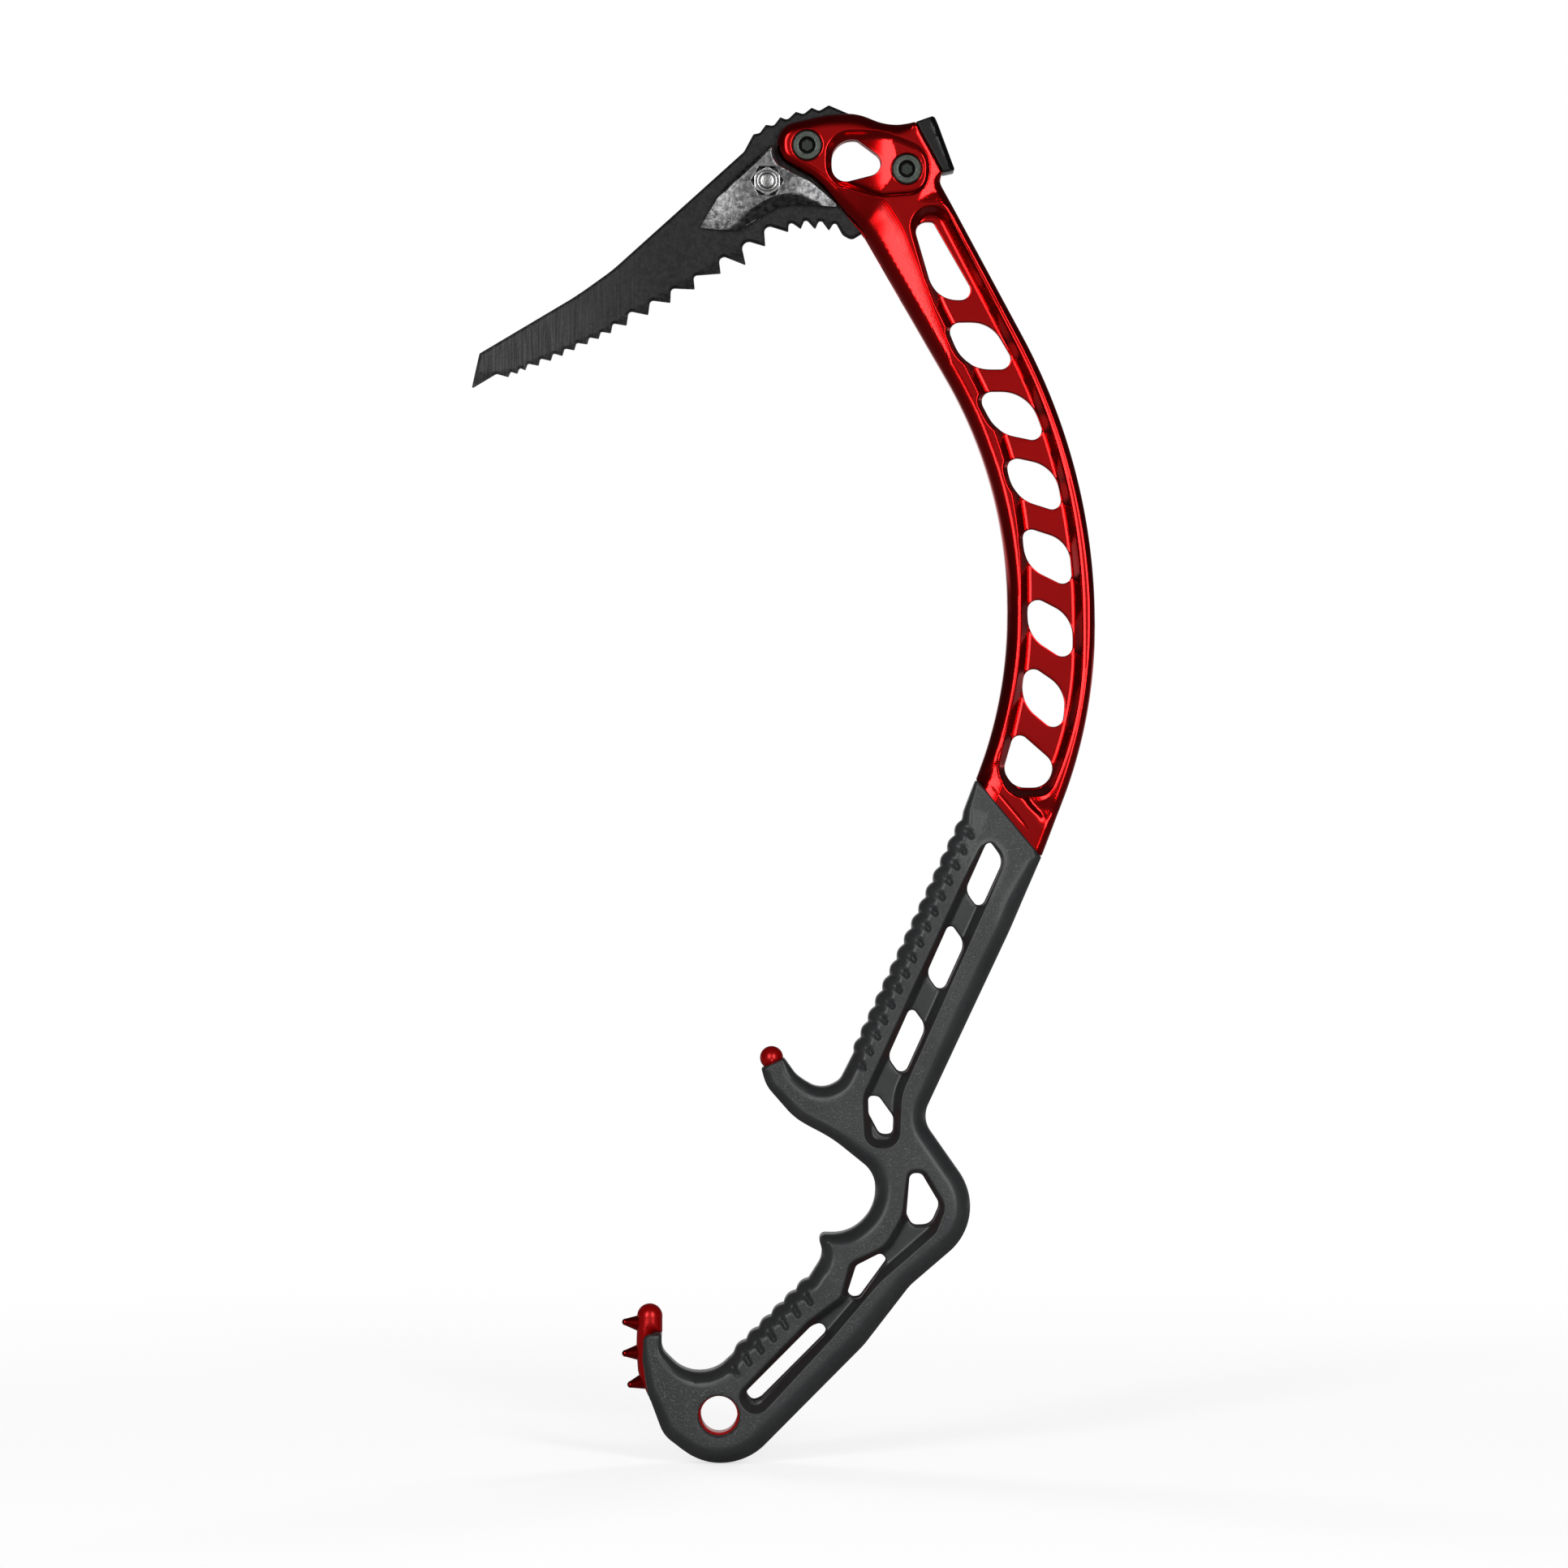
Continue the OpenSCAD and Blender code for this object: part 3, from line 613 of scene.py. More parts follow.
frameSizes = {
    # all in mm, and places as x, z
    "halfThickness": 8.5,                            # from the mid-plane to the faces
    "webHalf": 2.5,                                  # half thickness of the web in the pocket
    "rimOut": 1.5,                                   # from the pocket's outline out to its rim
    "crest": (0.6, 0.8),                             # bevel beside it, and what the right adds
    "slotHalf": 2.1,                                 # half width of the slot for the pick
    "bowlCentre": (50.0, 463.0), "bowlHalf": 5.2,    # middle of the hollow of the head
    "bowlCurve": 0.0088, "bowlEdge": 7.3,            # how fast it rises from there, and how far
    "boreRadius": 5.75, "boreDepth": 3.2,            # counterbores of the bolt heads
    "joint": ((94.9, 234.3), (118.9, 205.5)),        # line where the grip begins
    "grooveAt": 2.75, "grooveDepth": 0.16,           # fine groove beside that line
    "tangHalf": 5.0,                                 # half thickness inside the grip
    "ballAt": (19.4, 131.4), "ballRadius": 4.3,      # ball at the end of the finger rest
    "spikes": 3, "spikePath": ((-29.8, 33.3), (-30.7, 22.0), (-28.0, 11.8)),    # its bend second
    "spikeFoot": 3.0, "spikeTip": 1.3, "spikeHeight": 4.8,    # two radii and the height
    "meshPitch": 1.3, "tangPitch": 3.0,              # spacing of the mesh on the open faces
    "finePitch": 0.65, "fineFrom": (204, 385), "fineTo": (246, 482),    # finer between these z
    # places around the outline: x, z, how far the rounding reaches in and how far it drops
    "edges": [
        (21.4, 469, 4.0, 4.6), (27, 476.6, 4.4, 4.4), (50, 480, 5.6, 5.0), (66, 477.6, 4.8, 4.2),
        (71.4, 476.8, 3.0, 2.6), (73.2, 475.2, 0.8, 0.7), (81.8, 459.4, 0.8, 0.7),
        (83, 452.6, 3.4, 3.6), (139.6, 302, 2.5, 3.4), (127, 228, 3.2, 3.6), (120.2, 208, 3.2, 3.6),
        (95.8, 237, 5.2, 5.8), (105.9, 302, 5.7, 6.4), (90, 385, 5.6, 6.2), (75, 408, 5.4, 5.4),
        (60, 427, 4.8, 5.0), (45, 444.8, 4.2, 4.4), (28, 458.5, 3.8, 4.2)
    ],
    "tangEdges": [
        (118.0, 206.6, 1.0, 1.0), (95.6, 233.5, 1.0, 1.0), (16, 130, 3.0, 3.2),
        (-20.9, 31, 4.2, 4.6), (-20.9, 37, 4.3, 4.7), (-25.6, 40.6, 4.4, 4.8),
        (-30.3, 35, 4.3, 4.7), (-30.4, 20, 4.0, 4.4), (-27, 7, 3.0, 3.6), (0, -14, 1.0, 1.0),
        (50, 63, 1.0, 1.0), (96, 73, 1.0, 1.0)
    ],
    # Facets milled beside a line. Each has a closed outline that crosses the metal only along
    # that line, the slope there, how much it grows per mm, and how far the cutter marks reach.
    "facets": [
        ([(47.5, 453.5), (53, 450.8), (60.3, 448.6), (64.9, 442.9), (68.3, 437.1), (71.2, 429.7),
          (72.9, 425.6), (74.6, 421), (76.9, 414.7), (79.2, 408.4), (82.1, 401), (84.4, 394.6),
          (85.5, 390), (84, 385), (60, 378), (15, 420), (33, 444)], 0.17, 0.008, 6.5),
        ([(73, 447), (74.6, 451.5), (76.3, 455.5), (77.8, 460.7), (76.9, 464.1), (74, 469.3),
          (72.6, 473.5), (77, 484), (100, 470), (100, 444)], 0.17, 0.006, 2.5),
        ([(103.4, 241), (104.2, 237.9), (104.9, 232.5), (103.4, 228.7), (100.3, 224), (80, 215),
          (80, 246)], 0.17, 0.01, 2.5)
    ],
    # the valley below the last window: the ledge on its left side, and then round the outside
    "valley": [(102.6, 246), (103.2, 243), (104.2, 237.5), (106.6, 232.4), (111.2, 228.1),
               (114.2, 224.1), (117.6, 220.3), (119.6, 216.4), (140, 212), (150, 265), (108, 265)]
}


def facetCut(d, slope, growth, paintedShadeColour):
    # how deep a facet lies below the face, and how far the cutter marks show
    inside = np.clip(d, 0, 14)
    softened = np.where(d < 0.6, 0.3 * np.clip(d + 0.6, 0, 1.2)**2 / 0.72, inside)
    shown = ramp(d, -0.4, 0.6) * ramp(-d, -paintedShadeColour, -0.5 * paintedShadeColour)
    return softened * slope + growth * inside**2, shown


def edgeAbove(outline, joint):
    # the part of an outline above the joint, carried on past it
    above = alongLine(outline.points, *joint)[1] < -0.4
    first = int(np.nonzero(above & ~above[outline.before])[0][0])
    chain = np.roll(outline.points, -first, 0)[:above.sum()]
    ends = [chain[k] + (chain[k] - chain[j]) * 14 / np.hypot(*(chain[k] - chain[j]))
            for k, j in ((0, 4), (-1, -5))]
    return Outline(np.vstack([ends[0], chain, ends[1]]))


def buildFrame(sizes):
    slices = sectionLoops("frame", 4)
    outline = Outline(smoothLoop(slices[0], 0.85))
    pocket = Outline(smoothLoop(loopAround(slices, 122, 300), 0.8))
    recess = Outline(smoothLoop(loopAround(sectionLoops("frame", 7), 60, 472), 0.6))
    holes = Outline(*[smoothLoop(loop, 0.55) for loop in sectionLoops("frame", 2.3)[1:]])
    unslotted = Outline(smoothLoop(sectionLoops("frame", 0.5)[0], 0.8))    # solid to the middle
    full = sizes["halfThickness"]
    bolts = [boxOf("pick_bolt"), boxOf("hammer_bolt")]
    bores = [Outline(circleLoop(bolt[:2], sizes["boreRadius"])) for bolt in bolts]
    floors = [-bolt[2] - sizes["boreDepth"] for bolt in bolts]
    joint = np.array(sizes["joint"])
    edge = edgeAbove(outline, joint)
    reach, drop = valuesAlong(edge.points, sizes["edges"])
    tangReach, tangDrop = valuesAlong(outline.points, sizes["tangEdges"])
    valley = Outline(smoothLoop(np.array(sizes["valley"], float), 0.8, sharp=60))
    facets = [(Outline(smoothLoop(np.array(corners, float), 1.0, sharp=55)), rest)
              for corners, *rest in sizes["facets"]]

    def rightRail(p):
        return pocket.out[pocket.signed(p, withPlace=True)[1], 0] > 0.2

    def openFace(p):
        # where no ring of the edge, the pocket or the hollow lies
        s, q = pocket.signed(p), recess.signed(p)
        clear = ((s < -3.3) | (s > 3.1)) & ((q < -1.0) | (q > 5.1))
        return (outline.signed(p) > 0.3) & (edge.signed(p) > 4.7) & clear & (p[:, 1] > 200)

    def aboveJoint(p):
        return alongLine(p, *joint)[1] < -0.02

    # the rings lie closer where the surface turns fast
    plan = Plan()
    plan.loops(outline)
    plan.rings(edge, [0.05, 0.16, 0.36, 0.65, 1.05, 1.55, 2.15, 2.9], aboveJoint)
    plan.rings(edge, [3.7, 4.6],
               lambda p: aboveJoint(p) & ((pocket.signed(p) < -3.5) | ~rightRail(p)))
    # the tang is seen at the finger rest and the pommel only
    plan.rings(outline, [0.05, 0.16, 0.36], lambda p: alongLine(p, *joint)[1] > 0.02)
    plan.rings(outline, [0.65, 1.05, 1.55, 2.15, 2.9, 3.7, 4.6], lambda p: p[:, 0] < 24)
    plan.loops(holes)
    plan.rings(holes, [-0.1, -0.25, -0.5])
    plan.rings(pocket, [-3.1, -2.9, -2.5], lambda p: rightRail(p) | (edge.signed(p) > 5))
    plan.rings(pocket, [-2.1, -1.9, -1.75, -1.55, -1.35, -1.1, -0.6, 0.0, 0.6, 0.9, 1.15, 1.35,
                        1.45, 1.6, 2.1, 2.25, 2.45, 3.0],
               lambda p: holes.signed(p) < -0.55)
    plan.rings(recess, [-0.9, -0.5, -0.2, 0.05, 0.4, 0.9, 1.6, 2.5, 3.6, 5.0],
               lambda p: holes.signed(p) < -0.55)
    for bore in bores:
        plan.loops(bore)
        plan.rings(bore, [-0.1, -0.25, -0.5])
    plan.loops(unslotted, kept=outline.signed(unslotted.points) > 0.05)
    plan.line(denser(joint, 0.9))
    way = (joint[1] - joint[0]) / np.hypot(*(joint[1] - joint[0]))
    for gap in (-0.5, -0.3, -0.1, 0.1, 0.3, 0.5):
        groove = joint[0] - np.array([way[1], -way[0]]) * (sizes["grooveAt"] + gap)
        plan.line(denser(np.array([groove + way * 4, groove + way * 30]), 0.7))
    for facet in [valley] + [facet for facet, rest in facets]:
        plan.rings(facet, [-0.6, -0.2, 0.2, 0.6, 1.1, 1.7, 2.4], openFace)

    low, high = outline.box
    for start, end in zip(sizes["fineFrom"], sizes["fineTo"]):
        plan.fill((low[0], start), (high[0], end), sizes["finePitch"], openFace)
    plan.fill(low, high, sizes["meshPitch"], openFace)
    plan.fill(low, high, sizes["tangPitch"], lambda p: outline.holds(p) & (p[:, 1] < 205))

    def regionOf(p):
        # 0 solid to the middle, 1 beside the slot, 2 and 3 under the bolt heads, 4 the tang
        code = np.where(unslotted.holds(p), 0, 1)
        code = np.where(bores[0].holds(p), 2, code)
        code = np.where(bores[1].holds(p), 3, code)
        return np.where(alongLine(p, *joint)[1] > 0, 4, code)

    def levelsOf(region, p):
        below = np.full(len(p), sizes["slotHalf"] if region in (1, 2, 3) else 0.0)
        if region in (2, 3):
            return below, np.full(len(p), floors[region - 2])
        if region == 4:
            d, place = outline.signed(p, withPlace=True)
            top = sizes["tangHalf"] - roundOver(np.abs(d), tangReach[place], tangDrop[place])
            return below, top, np.full((len(p), 2), [satinMark, 0.0])
        d, place = edge.signed(p, withPlace=True)
        gaps = [facet.signed(p) for facet, rest in facets]
        cuts, shares = zip(*[facetCut(gap, *rest) for gap, (facet, rest) in zip(gaps, facets)])
        top = full - sum(cuts)
        # the valley fades out towards the grip and the window
        inside = valley.signed(p)
        nearValley = ramp(p[:, 1], 216.5, 223.5) * ramp(-p[:, 1], -246, -238)
        valleyShare = ramp(inside, 3.0, 4.0) * ramp(-p[:, 1], -231, -228) * nearValley
        top -= nearValley * profileAt([[-0.7, 0, 0], [1.0, 0.65, 0.6], [2.4, 1.2, 0],
                                       [4.0, 0.95, -0.2], [7.8, 0.15, -0.2], [9.5, 0, 0]], inside)
        # the strongest cutter marks show
        marks = np.zeros((len(p), 2))
        for gap, share in zip(gaps + [inside], shares + (valleyShare,)):
            marks = np.where((share > marks[:, 1])[:, None], np.stack([gap, share], 1), marks)
        t, groove = alongLine(p, *joint)
        fade = ramp(t, 5, 7) * ramp(-t, -28, -20)
        near = ramp(-np.abs(groove + sizes["grooveAt"]), -0.4, 0)
        top -= sizes["grooveDepth"] * near * fade
        # the pocket: a bevel beside its rim, and a wall that curves out onto the web
        s, rim = pocket.signed(p, withPlace=True)
        s += sizes["rimOut"]
        wide = sizes["crest"][0] + sizes["crest"][1] * ramp(pocket.out[rim, 0], -0.2, 0.4)
        top -= 0.22 * np.clip(s + wide, 0, 1.8)
        web = sizes["webHalf"]
        wall = profileAt([[-0.9, full + 1.4, -1.9], [0.15, full - 0.7, -2.0],
                          [2.4, web + 0.8, -1.9], [2.95, web + 0.18, -0.22],
                          [3.75, web + 0.01, -0.2], [3.95, web, 0]], s)
        # the hollow of the head: a shallow bowl with a wall
        bowlFloor = sizes["bowlHalf"] + sizes["bowlCurve"] * np.sum((p - sizes["bowlCentre"])**2, 1)
        bowlFloor = np.minimum(bowlFloor, sizes["bowlEdge"])
        bowl = profileAt([[-1.2, full + 1.3, -1.1], [0.2, full - 0.2, -1.2],
                          [2.4, full - 2.4, -0.7], [4.2, full - 3.2, 0]], recess.signed(p))
        bowl = -softMin(-bowl, -bowlFloor, 0.35)
        top = softMin(softMin(top, wall, 0.5), bowl, 0.45)
        top -= roundOver(np.abs(d), reach[place], drop[place])
        hole = np.minimum(-holes.signed(p), -np.maximum(bores[0].signed(p), bores[1].signed(p)))
        top -= roundOver(hole, 0.35, 0.25)
        return below, np.maximum(top, 1.2 + below * 0.6), marks

    return plateSolid(plan, outline, holes, regionOf, levelsOf)


def restBall(sizes):
    # the ball at the end of the finger rest
    angles = np.radians(np.linspace(-90, 90, 25))
    rings = [[sizes["ballRadius"] * math.sin(a), sizes["ballRadius"] * math.cos(a)] for a in angles]
    coords, faces, marks = latheSolid(sizes["ballAt"], rings, count=48)
    return coords, faces, marks + [satinMark, 0]


def startGrowth(name, inputs):
    # a Geometry Nodes tree, from the names of its inputs and their kinds
    tree = bpy.data.node_groups.new(name, "GeometryNodeTree")
    for label, kind in (("Geometry", "Geometry"), *inputs.items(), ("Material", "Material")):
        tree.interface.new_socket(label, in_out="INPUT", socket_type="NodeSocket" + kind)
    tree.interface.new_socket("Geometry", in_out="OUTPUT", socket_type="NodeSocketGeometry")
    return tree, addNode(tree, "NodeGroupInput").outputs


def endGrowth(tree, geometry, material):
    real = addNode(tree, "GeometryNodeRealizeInstances", {0: geometry})
    painted = addNode(tree, "GeometryNodeSetMaterial", {"Geometry": real, "Material": material})
    addNode(tree, "NodeGroupOutput", {0: painted})
    return tree


def spikeTree():
    # spikes at even steps along a path, each pointing away from the handle
    tree, given = startGrowth("pommelSpikes", {
        "Path Start": "Vector", "Path Middle": "Vector", "Path End": "Vector", "Spikes": "Int",
        "Foot Radius": "Float", "Tip Radius": "Float", "Height": "Float"})
    path = addNode(tree, "GeometryNodeCurveQuadraticBezier", {
        "Resolution": 64, "Start": given["Path Start"], "Middle": given["Path Middle"],
        "End": given["Path End"]})
    points = addNode(tree, "GeometryNodeCurveToPoints", {"Curve": path, "Count": given["Spikes"]},
                     mode="COUNT")
    outward = addNode(tree, "ShaderNodeVectorMath", {0: points.outputs["Tangent"],
                                                     1: (0.0, -1.0, 0.0)},
                      operation="CROSS_PRODUCT")
    cone = addNode(tree, "GeometryNodeMeshCone", {
        "Vertices": 32, "Side Segments": 3, "Radius Top": given["Tip Radius"],
        "Radius Bottom": given["Foot Radius"], "Depth": given["Height"]})
    tip = addNode(tree, "GeometryNodeMeshUVSphere", {"Segments": 32, "Rings": 12,
                                                     "Radius": given["Tip Radius"]})
    lift = addNode(tree, "ShaderNodeCombineXYZ", {"Z": given["Height"]})
    raised = addNode(tree, "GeometryNodeTransform", {"Geometry": tip, "Translation": lift})
    spike = addNode(tree, "GeometryNodeJoinGeometry", {0: [cone, raised]})
    aim = addNode(tree, "FunctionNodeAlignRotationToVector", {"Vector": outward}, axis="Z")
    placed = addNode(tree, "GeometryNodeInstanceOnPoints", {"Points": points, "Instance": spike,
                                                            "Rotation": aim})
    both = addNode(tree, "GeometryNodeJoinGeometry", {0: [placed, given["Geometry"]]})
    return endGrowth(tree, both, given["Material"])


framePiece = addPiece("headAndShaft", [buildFrame(frameSizes), restBall(frameSizes)])
pathPoints = [(x * mm, 0, z * mm) for x, z in frameSizes["spikePath"]]
grown(framePiece, spikeTree(), {
    "Path Start": pathPoints[0], "Path Middle": pathPoints[1], "Path End": pathPoints[2],
    "Spikes": frameSizes["spikes"], "Foot Radius": frameSizes["spikeFoot"] * mm,
    "Tip Radius": frameSizes["spikeTip"] * mm, "Height": frameSizes["spikeHeight"] * mm,
    "Material": redAluminium})
finishPiece(framePiece, redAluminium, "frame")


# Grip

gripSizes = {
    # all in mm, and places as x, z
    "halfThickness": 13.0,                                   # where the hand lies
    "channelHalf": 7.0,                                      # over the floors of the channels
    "restAt": 44, "restReach": 30, "restHalf": 5.5,          # taper of the finger rest
    "pommelAt": -4, "pommelReach": 26, "pommelHalf": 6.5,    # taper of the pommel
    "neckReach": 26, "neckHalf": 9.0,                        # taper to the frame
    "grooveHalf": 2.2, "grooveDepth": 0.9,                   # scoop in a rib
    "dimpleRadius": 1.5, "dimpleDepth": 1.6,                 # dimple at its end
    "meshPitch": 1.3, "ribPitch": 0.45,                      # mesh on open faces and over ribs
    # runs of ribs: first valley, last valley, number of ribs, along the scoop in a rib, and from
    # there along its dimple
    "ribRuns": [((49.9, 133.6), (89.6, 219.0), 15, (4.0, -1.6), (0.7, -1.2)),
                ((5.9, 23.1), (32.8, 49.8), 6, (1.6, -3.2), (1.5, -2.7))],
    # places around the outline: x, z, how far the rounding reaches in and how far it drops
    "edges": [
        (97.5, 231.2, 1.0, 0.8), (116.4, 208.6, 1.0, 0.8), (117.4, 202.5, 4.5, 5.5),
        (111, 189, 6.5, 8.5), (92, 145, 7.0, 10.5), (77, 112, 6.0, 10.0), (98, 76, 6.5, 10.5),
        (62, 36, 7.0, 10.5), (28, 0, 7.0, 10.5), (5, -17, 6.5, 10.5), (-14, -12, 5.5, 7.5),
        (-25, 5, 3.8, 4.8), (-27.5, 20, 2.4, 3.5), (-27.5, 28, 1.2, 1.2), (-22, 29.5, 1.2, 1.2),
        (-20.5, 22, 3.0, 4.5), (-7, 16, 5.0, 8.0), (10, 27, 5.0, 8.5), (30, 47, 5.0, 8.5),
        (38, 58, 5.5, 9.0), (37.5, 66.4, 3.5, 6.0), (48, 68, 5.5, 9.5), (57, 85, 6.0, 10.0),
        (40, 103, 4.5, 8.0), (22, 116, 3.8, 5.5), (16, 126.5, 3.0, 3.6), (17, 128.3, 0.8, 0.8),
        (23, 131, 0.8, 0.8), (26, 127.5, 3.4, 4.2), (37.5, 120.5, 5.0, 7.5), (48, 130, 5.0, 8.5),
        (70, 178, 5.0, 8.5), (88, 216, 4.5, 7.0), (91, 225, 2.5, 3.5)
    ],
}


def buildGrip(sizes):
    slices = sectionLoops("grip", 5.5)
    outline = Outline(smoothLoop(slices[0], 0.65))
    holes = Outline(*[smoothLoop(loop, 0.6) for loop in slices[1:]])
    floors = sectionLoops("grip", 7.5)
    channels = Outline(*[smoothLoop(loopAround(floors, *at), 0.8) for at in ((62, 120), (30, 22))])
    tang = Outline(smoothLoop(sectionLoops("frame", 4)[0], 1.2))
    reach, drop = valuesAlong(outline.points, sizes["edges"])
    joint = np.array(frameSizes["joint"])

    def nearRibs(p, gap):
        # within gap mm of a run of ribs, measured inwards
        near = np.zeros(len(p), bool)
        for start, end, *_ in sizes["ribRuns"]:
            along, off = alongLine(p, start, end)
            length = np.hypot(*np.subtract(end, start))
            near |= (along > -4) & (along < length + 6) & (off < gap) & (off > -3)
        return near

    plan = Plan()
    plan.loops(outline)
    for insets, gap in (([0.05, 0.18, 0.4, 0.75, 1.2], -3), ([1.8, 2.5, 3.4, 4.4, 5.6, 7.0], 8.2)):
        plan.rings(outline, insets, lambda p: (channels.signed(p) < -1.5)
                   & (holes.signed(p) < -0.9) & ~nearRibs(p, gap))
    plan.loops(holes)
    plan.rings(holes, [-0.15, -0.4, -0.8])
    plan.rings(channels, [-1.3, -1.0, -0.75, -0.5, -0.15, 0.4, 1.0, 1.5, 1.7, 1.85, 2.0, 2.25, 2.55,
                          2.85], lambda p: holes.signed(p) < -0.85)
    inGrip = (outline.signed(tang.points) > 0.3) & (alongLine(tang.points, *joint)[1] > 0)
    plan.loops(tang, kept=inGrip)

    def clear(p):
        # where no ring of a channel or a window lies
        c = channels.signed(p)
        return outline.holds(p) & ((c < -1.4) | (c > 3.1)) & (holes.signed(p) < -0.9)

    plan.fill(*outline.box, sizes["ribPitch"], lambda p: clear(p) & nearRibs(p, 8.2))
    plan.fill(*outline.box, sizes["meshPitch"], lambda p: clear(p) & ~nearRibs(p, 8.2))

    def regionOf(p):
        # 1 where the tang is inside
        return np.where(tang.holds(p) & (alongLine(p, *joint)[1] > 0), 1, 0)

    def levelsOf(region, p):
        d, place = outline.signed(p, withPlace=True)
        d = np.abs(d)
        full = sizes["halfThickness"]
        top = np.full(len(p), full)
        for end, past, blend in (
                ("neck", sizes["neckReach"] - alongLine(p, *joint)[1], 0.6),
                ("pommel", sizes["pommelAt"] - p[:, 0], 1.2),
                ("rest", np.where(p[:, 1] > 95, sizes["restAt"] - p[:, 0], -99), 1.2)):
            thinner = past * (full - sizes[end + "Half"]) / sizes[end + "Reach"]
            top = softMin(top, full - thinner, blend)
        # the side channels
        c = channels.signed(p)
        wall = profileAt([[-1.3, full + 1.6, -2.3], [-0.6, full, -2.3], [1.7, 7.7, -2.2],
                          [2.0, 7.25, -0.5], [2.9, sizes["channelHalf"], 0]], c)
        grain = ramp(d, reach[place] * 0.8, reach[place] * 1.3) * ramp(-c, 0.8, 2.0)
        top = softMin(top, wall, 0.9)
        top -= roundOver(d, reach[place], drop[place]) + roundOver(-holes.signed(p), 0.8, 0.7)
        grain *= np.where(nearRibs(p, 8.0), 0.35, 1)
        below = frameSizes["tangHalf"] if region == 1 else 0.0
        return np.full(len(p), below), top, np.stack([np.zeros(len(p)), grain], 1)

    return plateSolid(plan, outline, holes, regionOf, levelsOf)


def grooveTree():
    # presses a scoop into each rib of a row, with a long dimple at its inner end
    tree, given = startGrowth("ribGrooves", {
        "First Rib": "Vector", "Step": "Vector", "Groove": "Vector", "Dimple": "Vector",
        "Ribs": "Int", "Half Width": "Float", "Groove Depth": "Float", "Dimple Radius": "Float",
        "Dimple Depth": "Float"})
    ribs = addNode(tree, "GeometryNodeMeshLine", {
        "Count": given["Ribs"], "Start Location": given["First Rib"], "Offset": given["Step"]},
        mode="OFFSET")
    here = addNode(tree, "GeometryNodeInputPosition")
    flat = addNode(tree, "ShaderNodeVectorMath", {0: here, 1: (1.0, 0.0, 1.0)},
                   operation="MULTIPLY")
    cuts = []
    for start, way, width, depth in (((0, 0, 0), "Groove", "Half Width", "Groove Depth"),
                                     (given["Groove"], "Dimple", "Dimple Radius", "Dimple Depth")):
        one = addNode(tree, "GeometryNodeMeshLine", {
            "Count": 2, "Start Location": start, "Offset": given[way]}, mode="OFFSET")
        each = addNode(tree, "GeometryNodeInstanceOnPoints", {"Points": ribs, "Instance": one})
        lines = addNode(tree, "GeometryNodeRealizeInstances", {0: each})
        near = addNode(tree, "GeometryNodeProximity", {"Geometry": lines, "Sample Position": flat},
                       target_element="EDGES")
        cuts.append(addNode(tree, "ShaderNodeMapRange", {
            "Value": near.outputs["Distance"], "From Max": given[width], "To Min": given[depth],
            "To Max": 0.0}, interpolation_type="SMOOTHSTEP"))
    deeper = addNode(tree, "ShaderNodeMath", {0: cuts[0], 1: cuts[1]}, operation="MAXIMUM")
    height = addNode(tree, "ShaderNodeSeparateXYZ", {"Vector": here}).outputs["Y"]
    side = addNode(tree, "ShaderNodeMath", {0: height}, operation="SIGN")
    inward = addNode(tree, "ShaderNodeMath", {0: deeper, 1: side}, operation="MULTIPLY")
    inward = addNode(tree, "ShaderNodeMath", {0: inward, 1: -1.0}, operation="MULTIPLY")
    shift = addNode(tree, "ShaderNodeCombineXYZ", {"Y": inward})
    # only the outer faces move, not the walls round the tang
    height = addNode(tree, "ShaderNodeMath", {0: height}, operation="ABSOLUTE")
    outer = addNode(tree, "ShaderNodeMath", {0: height, 1: 0.0055}, operation="GREATER_THAN")
    moved = addNode(tree, "GeometryNodeSetPosition", {
        "Geometry": given["Geometry"], "Selection": outer, "Offset": shift})
    return endGrowth(tree, moved, given["Material"])


gripPiece = addPiece("handleGrip", [buildGrip(gripSizes)])
grooves = grooveTree()
for start, end, count, groove, dimple in gripSizes["ribRuns"]:
    step = (np.array(end) - start) / count
    vectors = {"First Rib": start - step / 2, "Step": step, "Groove": groove, "Dimple": dimple}
    lengths = {"Half Width": "grooveHalf", "Groove Depth": "grooveDepth",
               "Dimple Radius": "dimpleRadius", "Dimple Depth": "dimpleDepth"}
    grown(gripPiece, grooves, {
        "Ribs": count + 1, "Material": rubber,
        **{label: (float(x) * mm, 0.0, float(z) * mm) for label, (x, z) in vectors.items()},
        **{label: gripSizes[size] * mm for label, size in lengths.items()}})
finishPiece(gripPiece, rubber, "grip", angle=50)


# Pick

pickSizes = {
    # all in mm
    "halfThickness": 2.0,
    "edgeBevel": 1.0, "edgeDrop": 0.45,    # bevel along the spine and the point
    "toothDrop": 1.3, "toothReach": 6,     # thinner on each side by this, so far below the gullets
    "meshPitch": 0.9,
}


